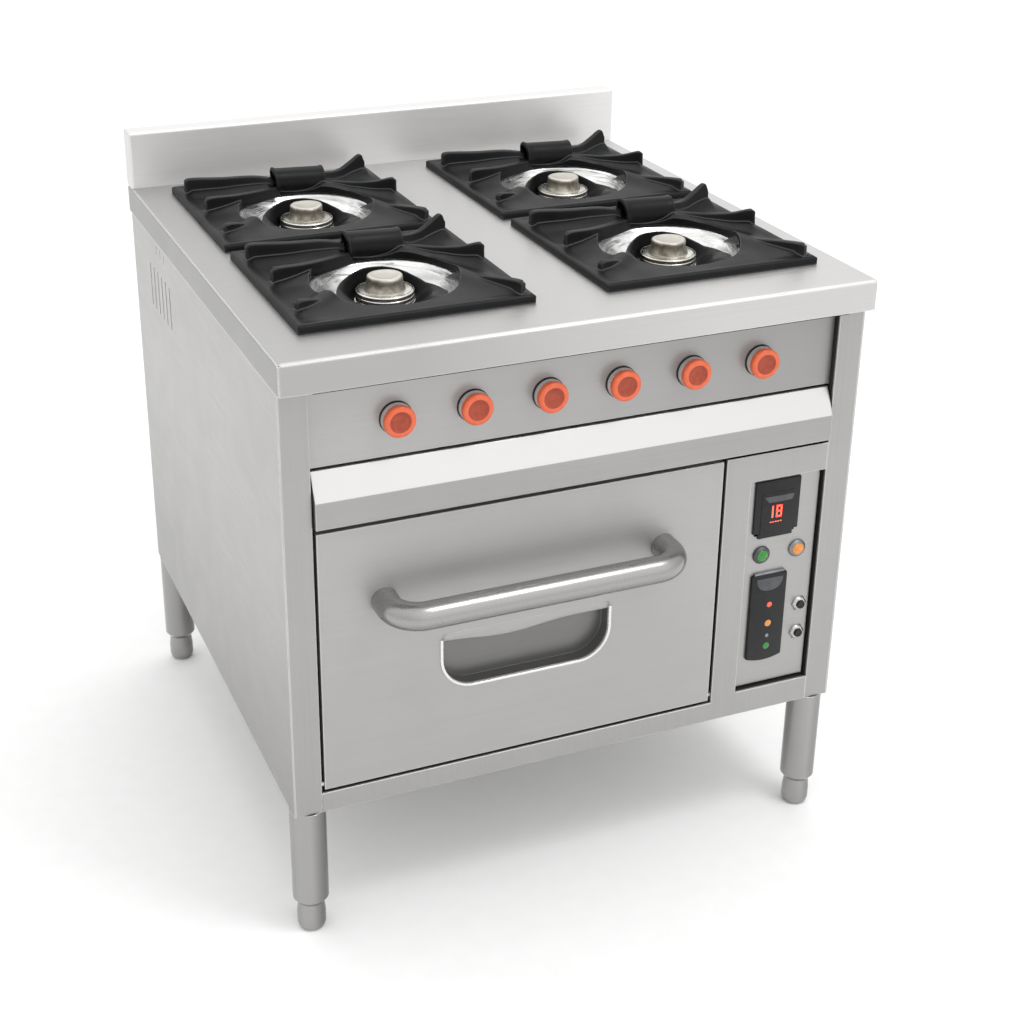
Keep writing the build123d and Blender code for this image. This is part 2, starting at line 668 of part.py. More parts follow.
def burner_bodies():
    """Cast burner with a stack of three flame rings on a hollow neck."""
    bodies = []
    ring = (STACK_TOP - STACK_BOTTOM) / STACK_RINGS
    for x, y in HOB_PLACES.values():
        outline = [
            (10, RAIL_Z - 6), (15, RAIL_Z - 6), (15, RAIL_Z + RAIL_HEIGHT),
            (30, RAIL_Z + RAIL_HEIGHT), (30, STACK_BOTTOM),
        ]
        for level in range(STACK_RINGS):
            base = STACK_BOTTOM + level * ring
            outline += [
                (STACK_RADIUS - 1, base), (STACK_RADIUS, base + 1),
                (STACK_RADIUS, base + ring - 2), (STACK_RADIUS - 3, base + ring - 1),
                (STACK_RADIUS - 3, base + ring),
            ]
        outline += [(20, STACK_TOP), (20, STACK_TOP + 6), (10, STACK_TOP + 6)]
        bodies.append(Pos(x, y + BURNER_SHIFT, 0) * turned(outline))
    return group(bodies)


def burner_cap(place):
    """Lift-off cap: a slightly tapered cup with a dished top."""
    x, y = HOB_PLACES[place]
    base = STACK_TOP + GAP
    outline = [
        (20.6, base), (CAP_RADIUS - 1, base), (CAP_RADIUS, base + 4), (CAP_RADIUS, CAP_TOP - 6),
        (CAP_RADIUS - 2, CAP_TOP - 1.5), (CAP_RADIUS - 6, CAP_TOP), (CAP_RADIUS - 12, CAP_TOP - 3),
        (0, CAP_TOP - 5), (0, CAP_TOP - 12), (20.6, CAP_TOP - 12),
    ]
    return Pos(x, y + BURNER_SHIFT, 0) * turned(outline)


def rib(start, end, width, base):
    """Upright bar between two (x, y, top) points, standing on the height base."""
    run = hypot(end[0] - start[0], end[1] - start[1])
    turn = degrees(atan2(end[1] - start[1], end[0] - start[0]))
    outline = [(0, base), (run, base), (run, end[2]), (0, start[2])]
    face = make_face(Plane.XZ * Polyline(*outline, close=True))
    bar = extrude(face, amount=width / 2, both=True)
    return Pos(start[0], start[1], 0) * Rot(0, 0, turn) * bar


def grate(place):
    """Cast pot support: rimmed plate, six fingers, a saddle and a web round the burner."""
    half = GRATE_SIZE / 2
    plate = block(-half, half, -half, half, GRATE_BOTTOM, GRATE_TOP)
    plate = chamfer(plate.edges().group_by(Axis.Z)[-1], 4)
    root = GRATE_TOP - 4
    fingers = (
        ((-160, 122, 960), (-22, 98, 962), 24), ((-156, 10, 960), (-20, 68, 958), 20),
        ((-158, -110, 950), (-106, -94, 946), 20), ((158, 118, 976), (104, 116, 956), 22),
        ((104, 116, 956), (66, 92, 962), 20), ((160, -14, 966), (66, 66, 956), 18),
        ((162, -158, 952), (112, -42, 948), 20),
    )
    for start, end, width in fingers:
        plate += rib(start, end, width, root)
    plate -= rod_z(0, BURNER_SHIFT, GRATE_BOTTOM, GRATE_BOTTOM + 5, BOWL_RIM_RADIUS + 4)
    hole = rod_z(0, BURNER_SHIFT, GRATE_BOTTOM, GRATE_TOP, GRATE_HOLE)
    plate -= hole
    saddle = rod_x(SADDLE_Y, SADDLE_SPRING_Z, *SADDLE_X, SADDLE_RADIUS)
    saddle += block(
        *SADDLE_X, SADDLE_Y - SADDLE_RADIUS, SADDLE_Y + SADDLE_RADIUS, root, SADDLE_SPRING_Z
    )
    bore = SADDLE_RADIUS - 6
    saddle -= rod_x(SADDLE_Y, SADDLE_SPRING_Z, *SADDLE_X, bore)
    saddle -= block(*SADDLE_X, SADDLE_Y - bore, SADDLE_Y + bore, GRATE_TOP, SADDLE_SPRING_Z)
    plate += saddle
    web_y = BURNER_SHIFT + WEB_BEHIND
    ends = [(side * GRATE_HOLE, web_y, GRATE_TOP) for side in (-1, 1)]
    plate += rib(*ends, WEB_WIDTH, WEB_FOOT)
    x, y = HOB_PLACES[place]
    return Pos(x, y, 0) * plate


# ---------------------------------------------------------------- gas train
def gas_manifold():
    """Header pipe behind the valves and its supply pipe to the rear."""
    run = [
        (knob_x(0) - 40, MANIFOLD_Y, KNOB_Z), (SUPPLY_X, MANIFOLD_Y, KNOB_Z),
        (SUPPLY_X, DEPTH / 2 - INLET_LENGTH, KNOB_Z),
    ]
    return pipe(run, MANIFOLD_RADIUS, 2 * MANIFOLD_RADIUS)


def gas_valves():
    """One tap behind each knob, clamped to the header pipe."""
    valves = []
    for index in range(KNOB_COUNT):
        x = knob_x(index)
        valve = rod_y(x, KNOB_Z, *VALVE_Y, VALVE_RADIUS)
        valve -= rod_y(x, KNOB_Z, VALVE_Y[0], VALVE_Y[1] - 4, STEM_RADIUS + PIN_CLEARANCE)
        valves.append(valve)
    return group(valves)


def gas_tubes():
    """Feed tubes: four to the hob burners, two round the drip tray to the oven burner."""
    tubes = []
    y0 = sum(VALVE_Y) / 2
    level = RAIL_Z - 18
    for index, place in HOB_VALVES.items():
        x = knob_x(index)
        bx, by = HOB_PLACES[place]
        by += BURNER_SHIFT
        points = [
            (x, y0, KNOB_Z + VALVE_RADIUS), (x, y0, level), (x, by, level), (bx, by, level),
            (bx, by, RAIL_Z - 6),
        ]
        tubes.append(pipe(points, TUBE_RADIUS, 10))
    drop = KNOB_Z - VALVE_RADIUS - 20
    for index, (x, lane, z) in zip(OVEN_VALVES, OVEN_FEEDS):
        start = knob_x(index)
        points = [
            (start, y0, KNOB_Z - VALVE_RADIUS), (start, y0, drop), (start, lane, drop),
            (OVEN_COLUMN_X, lane, drop), (OVEN_COLUMN_X, lane, z), (x, lane, z),
        ]
        tubes.append(pipe(points, TUBE_RADIUS, 10))
    return group(tubes)


def gas_inlet():
    """Threaded socket at the rear for the gas supply."""
    y0, y1 = DEPTH / 2 - INLET_LENGTH, DEPTH / 2
    socket = rod_y(SUPPLY_X, KNOB_Z, y0, y1, INLET_BORE + 5)
    socket -= rod_y(SUPPLY_X, KNOB_Z, y0, y1, INLET_BORE)
    return socket


def cable_gland():
    """Gland in the rear sheet where the supply lead enters."""
    gland = rod_y(GLAND_X, GLAND_Z, REAR_Y - 14, REAR_Y + SHEET, GLAND_RADIUS)
    gland += rod_y(GLAND_X, GLAND_Z, REAR_Y + SHEET, DEPTH / 2, GLAND_RADIUS + 1)
    gland += rod_y(GLAND_X, GLAND_Z, REAR_Y - 8, REAR_Y, GLAND_RADIUS + 4)
    gland -= rod_y(GLAND_X, GLAND_Z, REAR_Y - 14, DEPTH / 2, GLAND_BORE)
    return gland


# ---------------------------------------------------------------- knobs and instruments
def knob(index):
    """Round knob with a dished cap, a skirt and the tap stem."""
    x = knob_x(index)
    dish = 14
    skirt_y = PANEL_Y - 8
    cap = rod_y(x, KNOB_Z, KNOB_FRONT_Y, skirt_y, KNOB_RADIUS - 1)
    cap = fillet(cap.edges().group_by(Axis.Y)[0], 4)
    cap -= rod_y(x, KNOB_Z, KNOB_FRONT_Y, KNOB_FRONT_Y + 2, dish)
    skirt = rod_y(x, KNOB_Z, skirt_y, PANEL_Y - 3, KNOB_RADIUS)
    stem = rod_y(x, KNOB_Z, PANEL_Y - 3, VALVE_Y[1] - 5, STEM_RADIUS)
    return cap + skirt + stem


def knob_collars():
    """Flat ring on the panel round each stem hole."""
    rings = []
    for index in range(KNOB_COUNT):
        x = knob_x(index)
        ring = rod_y(x, KNOB_Z, PANEL_Y - SHEET, PANEL_Y, KNOB_RADIUS + 1.5)
        ring -= rod_y(x, KNOB_Z, PANEL_Y - SHEET, PANEL_Y, STEM_RADIUS + SHEET)
        rings.append(ring)
    return group(rings)


def instrument(extent, front_y, depth):
    """Panel instrument: bezel in front of the sheet and a body behind it."""
    x0, x1, z0, z1 = extent
    bezel = block(x0, x1, front_y, NICHE_Y, z0, z1)
    bezel = chamfer(bezel.edges().filter_by(Axis.Y).group_by(Axis.Z)[0], 8)
    bezel = fillet(bezel.edges().filter_by(Axis.Y).group_by(Axis.Z)[-1], 3)
    body = block(x0 + 4, x1 - 4, NICHE_Y, NICHE_Y + depth, z0 + 4, z1 - 4)
    return bezel + body


def lamp(name):
    """Round pilot lamp: domed lens and bezel in front, body behind."""
    x = LAMP_X[name]
    lens = rod_y(x, LAMP_Z, LAMP_FRONT_Y, NICHE_Y, LAMP_RADIUS)
    lens = fillet(lens.edges().group_by(Axis.Y)[0], 4)
    body = rod_y(x, LAMP_Z, NICHE_Y, NICHE_Y + 30, LAMP_BODY_RADIUS)
    return lens + body


def push_button(name):
    """Black plunger that slides in its nut."""
    z = BUTTON_Z[name]
    plunger = rod_y(BUTTON_X, z, BUTTON_FRONT_Y, NICHE_Y + 10, BUTTON_RADIUS)
    return fillet(plunger.edges().group_by(Axis.Y)[0], 2)


def button_nuts():
    """Hexagon nuts with a threaded barrel that hold the two push buttons."""
    nuts = []
    for z in BUTTON_Z.values():
        plane = Plane(origin=(BUTTON_X, NICHE_Y, z), x_dir=(1, 0, 0), z_dir=(0, -1, 0))
        nut = extrude(plane * RegularPolygon(NUT_RADIUS, 6), amount=NICHE_Y - NUT_FRONT_Y)
        barrel = rod_y(BUTTON_X, z, NICHE_Y, NICHE_Y + 20, BUTTON_RADIUS + SHEET)
        barrel -= rod_y(BUTTON_X, z, NICHE_Y + 16, NICHE_Y + 20, BUTTON_RADIUS + SHEET - 1)
        nut += barrel
        nut -= rod_y(BUTTON_X, z, NUT_FRONT_Y, NICHE_Y + 16, BUTTON_RADIUS + PIN_CLEARANCE)
        nuts.append(nut)
    return group(nuts)


def all_nodes():
    """Every node of the range, by name."""
    nodes = {
        "corner_posts": corner_posts(),
        "front_frame": front_frame(),
        "left_side_panel": side_panel(-1),
        "right_side_panel": side_panel(1),
        "rear_panel": rear_panel(),
        "base_panel": base_panel(),
        "worktop": worktop(),
        "backsplash": backsplash(),
        "control_panel": control_panel(),
        "niche_panel": niche_panel(),
        "inner_rails": inner_rails(),
        "leg_tubes": leg_tubes(),
        "oven_liner": oven_liner(),
        "oven_insulation": oven_insulation(),
        "rack_guides": rack_guides(),
        "oven_rack": oven_rack(),
        "oven_burner": oven_burner(),
        "oven_floor": oven_floor(),
        "gas_manifold": gas_manifold(),
        "gas_valves": gas_valves(),
        "gas_tubes": gas_tubes(),
        "gas_inlet": gas_inlet(),
        "cable_gland": cable_gland(),
        "knob_collars": knob_collars(),
        "drip_tray": drip_tray(),
        "door_skin": door_skin(),
        "door_pocket": door_pocket(),
        "door_insulation": door_insulation(),
        "door_liner": door_liner(),
        "door_gasket": door_gasket(),
        "door_handle": door_handle(),
        "door_hinge_pins": door_hinge_pins(),
        "hinge_bushes": hinge_bushes(),
        "spill_bowls": spill_bowls(),
        "burner_bodies": burner_bodies(),
        "temperature_controller": instrument(CONTROLLER, CONTROLLER_FRONT_Y, CONTROLLER_DEPTH),
        "timer_module": instrument(TIMER, TIMER_FRONT_Y, TIMER_DEPTH),
        "button_nuts": button_nuts(),
    }
    for index in range(KNOB_COUNT):
        nodes[f"knob_{index + 1}"] = knob(index)
    for place in HOB_PLACES:
        nodes[f"grate_{place}"] = grate(place)
        nodes[f"burner_cap_{place}"] = burner_cap(place)
    for end, y in LEG_Y.items():
        for side, x in (("left", -LEG_X), ("right", LEG_X)):
            nodes[f"foot_{end}_{side}"] = foot(x, y)
    for name in LAMP_X:
        nodes[f"{name}_lamp"] = lamp(name)
    for name in BUTTON_Z:
        nodes[f"button_{name}"] = push_button(name)
    return nodes


os.makedirs("parts", exist_ok=True)
for node, shape in all_nodes().items():
    export_step(Pos(0, CENTRE_SHIFT, 0) * shape, f"parts/{node}.step")
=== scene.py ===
from math import atan2, cos, degrees, hypot, pi, radians, sin

import bmesh
import bpy
import numpy as np
from mathutils import Matrix, Vector, noise


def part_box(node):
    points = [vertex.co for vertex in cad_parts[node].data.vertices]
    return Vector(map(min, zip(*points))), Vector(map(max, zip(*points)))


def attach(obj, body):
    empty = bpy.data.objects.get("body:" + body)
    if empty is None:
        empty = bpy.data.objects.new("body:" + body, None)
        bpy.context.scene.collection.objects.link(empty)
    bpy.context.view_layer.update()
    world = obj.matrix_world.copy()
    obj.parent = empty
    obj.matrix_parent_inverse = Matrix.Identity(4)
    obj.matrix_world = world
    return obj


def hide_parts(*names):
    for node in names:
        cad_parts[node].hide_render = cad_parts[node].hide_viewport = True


# Looks of the commercial gas range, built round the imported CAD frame.  Metres throughout.
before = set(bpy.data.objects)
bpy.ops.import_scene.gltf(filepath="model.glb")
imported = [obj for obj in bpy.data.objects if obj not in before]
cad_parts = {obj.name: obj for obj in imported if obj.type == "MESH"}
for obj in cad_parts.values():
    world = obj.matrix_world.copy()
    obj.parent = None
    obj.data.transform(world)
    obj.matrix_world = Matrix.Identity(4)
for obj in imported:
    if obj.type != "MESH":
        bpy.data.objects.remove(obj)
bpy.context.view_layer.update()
MM = 0.001

# ---- camera
CAMERA_AZIMUTH = -22.0
CAMERA_ELEVATION = 23.8
CAMERA_ROLL = 0.1
CAMERA_DISTANCE = 3.1626
CAMERA_TARGET = Vector((0.0985, 0.3214, 0.45))
CAMERA_LENS = 60.17
CAMERA_SHIFT = (0.0508, -0.085)


def add_camera():
    """Camera at the viewing angle of the reference."""
    azimuth, elevation = radians(CAMERA_AZIMUTH), radians(CAMERA_ELEVATION)
    back = Vector((
        sin(azimuth) * cos(elevation), -cos(azimuth) * cos(elevation), sin(elevation),
    ))
    right = Vector((0, 0, 1)).cross(back).normalized()
    up = back.cross(right)
    turn = Matrix.Rotation(radians(CAMERA_ROLL), 3, back)
    right, up = turn @ right, turn @ up
    data = bpy.data.cameras.new("camera")
    data.lens = CAMERA_LENS
    data.sensor_width = 36
    data.shift_x, data.shift_y = CAMERA_SHIFT
    data.clip_end = 100
    camera = bpy.data.objects.new("camera", data)
    axes = Matrix((right, up, back)).transposed().to_4x4()
    camera.matrix_world = Matrix.Translation(CAMERA_TARGET + back * CAMERA_DISTANCE) @ axes
    bpy.context.scene.collection.objects.link(camera)
    bpy.context.scene.camera = camera


# ---- materials
class Nodes:
    """A node tree: every method adds nodes and returns a socket."""

    def __init__(self, tree):
        self.tree = tree

    def join(self, value, socket):
        if isinstance(value, bpy.types.NodeSocket):
            self.tree.links.new(value, socket)
        elif isinstance(value, tuple) and socket.type == "RGBA":
            socket.default_value = (*value, 1)
        else:
            socket.default_value = value

    def node(self, kind, joins=(), **settings):
        """New node with its settings, then its inputs as a dictionary of values or sockets."""
        made = self.tree.nodes.new("ShaderNode" + kind)
        for key, value in settings.items():
            setattr(made, key, value)
        for key in joins:
            self.join(joins[key], made.inputs[key])
        return made

    def math(self, operation, *values):
        return self.node("Math", dict(enumerate(values)), operation=operation).outputs[0]

    def dot(self, first, second):
        joins = {0: first, 1: second}
        return self.node("VectorMath", joins, operation="DOT_PRODUCT").outputs["Value"]


class Look(Nodes):
    """A node material: sockets in, a Principled surface out."""

    def __init__(self, name):
        self.material = bpy.data.materials.new(name)
        self.material.use_nodes = True
        super().__init__(self.material.node_tree)
        self.surface = self.tree.nodes["Principled BSDF"]
        self.place = self.node("TexCoord").outputs["Object"]

    def noise(self, scale, stretch=(1, 1, 1), detail=3.0, warp=0.0):
        mapping = self.node("Mapping", {"Vector": self.place, "Scale": stretch})
        joins = {"Vector": mapping.outputs["Vector"], "Scale": scale, "Detail": detail}
        return self.node("TexNoise", {**joins, "Distortion": warp}).outputs["Fac"]

    def spread(self, value, low=0.0, high=1.0, start=0.3, end=0.7):
        joins = {"Value": value, "From Min": start, "From Max": end, "To Min": low, "To Max": high}
        return self.node("MapRange", joins).outputs["Result"]

    def mix(self, factor, first, second):
        joins = {"Factor": factor, "A": first, "B": second}
        return self.node("Mix", joins, data_type="RGBA").outputs["Result"]

    def bump(self, height, strength, distance, below=None):
        joins = {"Strength": strength, "Distance": distance, "Height": height}
        if below is not None:
            joins["Normal"] = below
        return self.node("Bump", joins).outputs["Normal"]

    def rounded(self, radius):
        return self.node("Bevel", {"Radius": radius}, samples=4).outputs["Normal"]

    def edges(self, radius):
        """0 on flats, 1 where the surface turns sharply outwards."""
        facing = self.dot(self.rounded(radius), self.node("NewGeometry").outputs["Normal"])
        return self.spread(facing, 1.0, 0.0, 0.80, 0.995)

    def axes(self, output):
        """The three components of an object-space coordinate output."""
        return self.node("SeparateXYZ", {"Vector": self.node("TexCoord").outputs[output]}).outputs

    def behind(self, depth):
        """1 on faces behind a depth that don't face outwards to the sides."""
        places, turns = self.axes("Object"), self.axes("Normal")
        outward = self.math("MULTIPLY", places["X"], turns["X"])
        inside = self.spread(outward, 1.0, 0.0, 0.05, 0.15)
        deep = self.spread(places["Y"], 0.0, 1.0, depth, depth + 0.002)
        return self.math("MULTIPLY", inside, deep)

    def done(self, colour, roughness, metallic=0.0, normal=None, **constants):
        joins = {"Base Color": colour, "Roughness": roughness, "Metallic": metallic, **constants}
        if normal is not None:
            joins["Normal"] = normal
        for key, value in joins.items():
            self.join(value, self.surface.inputs[key.replace("_", " ")])
        return self.material


def grey(level, warmth=0.0):
    """Near-neutral colour; warmth lifts red and lowers blue."""
    return (level * (1 + warmth), level, level * (1 - warmth))


METAL_SHARE = 0.82
GRAIN_ACROSS = (3, 260, 260)
GRAIN_UP = (260, 260, 3)
GRAIN_SIDE = (260, 3, 260)


def brushed(name, level, grain, roughness=0.36, edge_radius=0.0022, metal=METAL_SHARE,
            warmth=0.012, fade=None, inner=None, facing_shade=None, scratch=0.07):
    """Brushed stainless sheet: fine directional grain, soft blotches, painted highlights along its
    folds.

    fade is (axis, from, to, share) for painted shade that changes slowly along an axis, inner the depth
    behind which faces in the gaps get painted shade, facing_shade the (axis, sign, share, from, to) of
    faces turned one way that get painted shade or painted light.
    """
    look = Look(name)
    lines = look.noise(1.0, grain, 4.0)
    hairs = look.noise(2.6, grain, 2.0)
    clouds = look.noise(3.1, (1, 1, 1), 3.0, 0.4)
    smudges = look.noise(11.0, (1, 1, 1), 4.0, 0.8)
    edge = look.edges(edge_radius)
    tone = look.mix(look.spread(clouds, 0, 0.5), grey(level, warmth), grey(level * 0.90, warmth))
    tone = look.mix(look.spread(lines, 0, 0.25), tone, grey(level * 0.84, warmth))
    tone = look.mix(look.spread(smudges, 0, 0.25, 0.5, 0.75), tone, grey(level * 0.92, warmth))
    # Painted shade that changes slowly along one axis.
    if fade:
        axis, start, end, share = fade
        along = look.spread(look.axes("Object")[axis], 0.0, 1.0, start, end)
        tone = look.mix(look.math("MULTIPLY", along, 0.85), tone, grey(level * share, warmth))
    # Painted shade or painted light on faces turned one way along an axis.
    if facing_shade:
        axis, sign, share, start, end = facing_shade
        facing = look.math("MULTIPLY", look.axes("Normal")[axis], sign)
        tone = look.mix(look.spread(facing, 0.0, 1.0, start, end), tone, grey(level * share, warmth))
    # Painted highlight: faces near sharp folds and edges are lightened to twice the level.
    tone = look.mix(edge, tone, grey(min(1.0, level * 2.0), warmth))
    rough = look.mix(
        look.spread(hairs), grey(roughness - 0.7 * scratch), grey(roughness + scratch)
    )
    rough = look.mix(look.spread(smudges, 0, 0.5), rough, grey(roughness + 0.12))
    share = metal
    # Painted shade in the gaps: faces behind the depth turn near-black, rough and not metallic.
    if inner is not None:
        depth = look.behind(inner)
        tone = look.mix(depth, tone, grey(0.012))
        rough = look.mix(depth, rough, grey(0.8))
        share = look.mix(depth, grey(metal), grey(0.0))
    normal = look.bump(lines, scratch, 0.0002, look.rounded(edge_radius))
    return look.done(tone, rough, share, normal)


def cast_iron():
    """Satin black cast iron with a fine sandy skin and painted highlights on its high edges."""
    look = Look("cast_iron_skin")
    sand = look.noise(420.0, detail=3.0)
    lumps = look.noise(38.0, detail=4.0, warp=0.5)
    patches = look.noise(14.0, detail=4.0)
    edge = look.edges(0.003)
    tone = look.mix(look.spread(patches), (0.0035, 0.0037, 0.0042), (0.006, 0.0063, 0.007))
    tone = look.mix(look.spread(lumps, 0, 0.5, 0.5, 0.8), tone, (0.010, 0.010, 0.011))
    # Painted highlight along the high edges.
    tone = look.mix(edge, tone, (0.085, 0.085, 0.09))
    rough = look.mix(look.spread(patches), grey(0.36), grey(0.48))
    normal = look.bump(lumps, 0.22, 0.0012, look.rounded(0.0012))
    normal = look.bump(sand, 0.25, 0.0003, normal)
    return look.done(tone, rough, 0.0, normal, Specular_IOR_Level=0.18)


def cast_burner():
    """Sand-cast burner cap: warm silver with brown mottling, painted light on its upward faces and a
    painted highlight on its edges.
    """
    look = Look("cast_burner_skin")
    mottle = look.noise(60.0, detail=6.0, warp=1.0)
    pits = look.noise(220.0, detail=3.0)
    tone = look.mix(look.spread(mottle, 0, 1, 0.35, 0.65), (0.42, 0.39, 0.33), (0.17, 0.15, 0.11))
    # Painted light: faces turned upwards are lighter.
    painted_top_light = look.spread(look.axes("Normal")["Z"], 0.0, 0.8, 0.4, 0.9)
    tone = look.mix(painted_top_light, tone, (0.60, 0.58, 0.53))
    # Painted highlight on the edges.
    tone = look.mix(look.edges(0.0045), tone, (0.95, 0.94, 0.90))
    rough = look.mix(look.spread(mottle), grey(0.34), grey(0.55))
    normal = look.bump(mottle, 0.25, 0.001)
    normal = look.bump(pits, 0.35, 0.0004, normal)
    return look.done(tone, rough, 0.85, normal)


def bright_rings():
    """Machined bright rings under the cap."""
    look = Look("bright_rings")
    turning = look.noise(1.0, (6, 6, 900), 2.0)
    stain = look.noise(45.0, detail=4.0, warp=0.6)
    tone = look.mix(look.spread(stain), (0.88, 0.87, 0.84), (0.62, 0.59, 0.52))
    rough = look.mix(look.spread(stain), grey(0.20), grey(0.34))
    return look.done(tone, rough, 1.0, look.bump(turning, 0.15, 0.0002, look.rounded(0.0006)))


def polished_bowl():
    """Polished pressed bowl with long crumpled streaks."""
    look = Look("polished_bowl_skin")
    streak = look.noise(9.0, (1, 1, 9.0), 4.0, 0.9)
    creases = look.noise(20.0, (1, 1, 12.0), 3.0, 0.8)
    tone = look.mix(look.spread(streak, 0, 1, 0.38, 0.62), (0.96, 0.96, 0.95), (0.62, 0.62, 0.61))
    tone = look.mix(look.spread(creases, 0, 0.7, 0.56, 0.66), tone, (0.25, 0.25, 0.25))
    rough = look.mix(look.spread(creases), grey(0.22), grey(0.36))
    normal = look.bump(streak, 0.35, 0.004)
    normal = look.bump(creases, 0.25, 0.0015, normal)
    return look.done(tone, rough, 0.85, normal)


def plastic(name, dark, light, roughness, scale=90.0, **constants):
    """Moulded plastic with a faint cloudy tone and a fine orange-peel skin."""
    look = Look(name)
    clouds = look.noise(scale, detail=3.0)
    skin = look.noise(scale * 9, detail=2.0)
    tone = look.mix(look.spread(clouds), dark, light)
    rough = look.mix(look.spread(clouds), grey(roughness - 0.04), grey(roughness + 0.06))
    return look.done(tone, rough, 0.0, look.bump(skin, 0.12, 0.0003), **constants)


def lens(name, dark, light, glow):
    """Coloured pilot lens with a little light of its own."""
    look = Look(name)
    facets = look.noise(260.0, detail=2.0, warp=1.0)
    tone = look.mix(look.spread(facets), dark, light)
    rough = look.mix(look.spread(facets), grey(0.16), grey(0.30))
    return look.done(
        tone, rough, 0.0, look.bump(facets, 0.3, 0.0006),
        Emission_Color=light, Emission_Strength=glow, Coat_Weight=0.6,
    )


def plain_metal(name, light, dark, roughness, scale=40.0):
    """Unpolished hidden metal: pipes, brass, galvanised sheet."""
    look = Look(name)
    spangle = look.noise(scale, detail=5.0, warp=0.4)
    scratches = look.noise(1.0, (90, 90, 8), 3.0)
    tone = look.mix(look.spread(spangle), light, dark)
    rough = look.mix(look.spread(scratches), grey(roughness), grey(roughness + 0.15))
    return look.done(tone, rough, 1.0, look.bump(scratches, 0.12, 0.0004, look.rounded(0.0008)))


def enamel():
    """Dark speckled oven enamel."""
    look = Look("oven_enamel_skin")
    specks = look.noise(600.0, detail=1.0)
    waves = look.noise(9.0, detail=2.0)
    tone = look.mix(look.spread(specks, 0, 1, 0.62, 0.70), (0.02, 0.022, 0.028), (0.35, 0.36, 0.38))
    rough = look.mix(look.spread(waves), grey(0.16), grey(0.26))
    return look.done(tone, rough, 0.0, look.bump(waves, 0.2, 0.001), Coat_Weight=0.5)


def woven(name, light, dark):
    """Mineral wool and woven seal."""
    look = Look(name)
    strands = look.noise(150.0, (1, 1, 3), 5.0, 1.5)
    tone = look.mix(look.spread(strands), light, dark)
    rough = look.mix(look.spread(strands), grey(0.85), grey(0.95))
    return look.done(tone, rough, 0.0, look.bump(strands, 0.6, 0.002))


# ---- mesh helpers
WELD = 0.02 * MM


def settle(name, mesh, body, replaces=()):
    """New object that rides on a CAD body and the CAD nodes it stands for."""
    piece = bpy.data.objects.new(name, mesh)
    bpy.context.scene.collection.objects.link(piece)
    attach(piece, body)
    if replaces:
        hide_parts(replaces)
    return piece


def add_piece(name, verts, faces, materials, body, slot, replaces=(), smooth=True, which=None):
    """New mesh piece from points and faces."""
    mesh = bpy.data.meshes.new(name)
    mesh.from_pydata([tuple(v) for v in verts], [], faces)
    mesh.update()
    for material in materials:
        mesh.materials.append(material)
    for index, polygon in enumerate(mesh.polygons):
        polygon.use_smooth = smooth
        if which is not None:
            polygon.material_index = which[index]
    return settle(name, mesh, body, replaces)


def strip_faces(rows, length, closed=False):
    """Quads between neighbouring rows of points; closed joins the last row to the first."""
    faces = []
    for row in range(rows if closed else rows - 1):
        following = (row + 1) % rows
        for index in range(length - 1):
            faces.append((
                row * length + index, following * length + index,
                following * length + index + 1, row * length + index + 1,
            ))
    return faces


def tidy_mesh(piece, dist=WELD):
    """Welds doubles and makes normals agree."""
    work = bmesh.new()
    work.from_mesh(piece.data)
    bmesh.ops.remove_doubles(work, verts=work.verts, dist=dist)
    bmesh.ops.recalc_face_normals(work, faces=work.faces)
    work.to_mesh(piece.data)
    work.free()


def apply_modifiers(piece):
    """Writes the piece's modifiers into its mesh."""
    graph = bpy.context.evaluated_depsgraph_get()
    mesh = bpy.data.meshes.new_from_object(piece.evaluated_get(graph))
    piece.modifiers.clear()
    piece.data = mesh


def thicken(piece, thickness, offset):
    """Turns an open skin into a sheet; offset -1 grows it inwards, 0 to both sides."""
    shell = piece.modifiers.new("shell", "SOLIDIFY")
    shell.thickness = thickness
    shell.offset = offset
    apply_modifiers(piece)


def lathe(name, spot, profile, materials, body, slot, axis="Y", segments=72, wobble=None, **more):
    """Turned piece about a spot: profile is (radius, distance along the axis) pairs, millimetres.

    shades names the material of each ring between two profile points.
    """
    shades = more.pop("shades", [0] * (len(profile) - 1))
    verts = []
    for step in range(segments):
        angle = 2 * pi * step / segments
        for radius, along in profile:
            if wobble is not None:
                along += wobble(angle, radius)
            across, up = radius * cos(angle), radius * sin(angle)
            turned = (across, along, up) if axis == "Y" else (across, up, along)
            verts.append(Vector(spot) + Vector(turned) * MM)
    faces = strip_faces(segments, len(profile), closed=True)
    piece = add_piece(name, verts, faces, materials, body, slot, which=shades * segments, **more)
    tidy_mesh(piece, WELD / 2)
    piece.data.set_sharp_from_angle(angle=radians(50))
    return piece


def prism(name, outline, front, back, material, bevel=0.0, replaces=()):
    """Flat-faced piece of the cabinet: an (x, z) outline between two y planes, rounded in front."""
    work = bmesh.new()
    near = [work.verts.new((x, front, z)) for x, z in outline]
    far = [work.verts.new((x, back, z)) for x, z in outline]
    work.faces.new(near)
    work.faces.new(list(reversed(far)))
    for index in range(len(outline)):
        following = (index + 1) % len(outline)
        work.faces.new((near[index], far[index], far[following], near[following]))
    bmesh.ops.recalc_face_normals(work, faces=work.faces)
    if bevel:
        rim = [e for e in work.edges if any(v in near for v in e.verts)]
        bmesh.ops.bevel(work, geom=rim, offset=bevel, segments=3, affect="EDGES", profile=0.5)
    mesh = bpy.data.meshes.new(name)
    work.to_mesh(mesh)
    work.free()
    mesh.materials.append(material)
    for polygon in mesh.polygons:
        polygon.use_smooth = True
    mesh.set_sharp_from_angle(angle=radians(35))
    return settle(name, mesh, "cabinet", replaces)


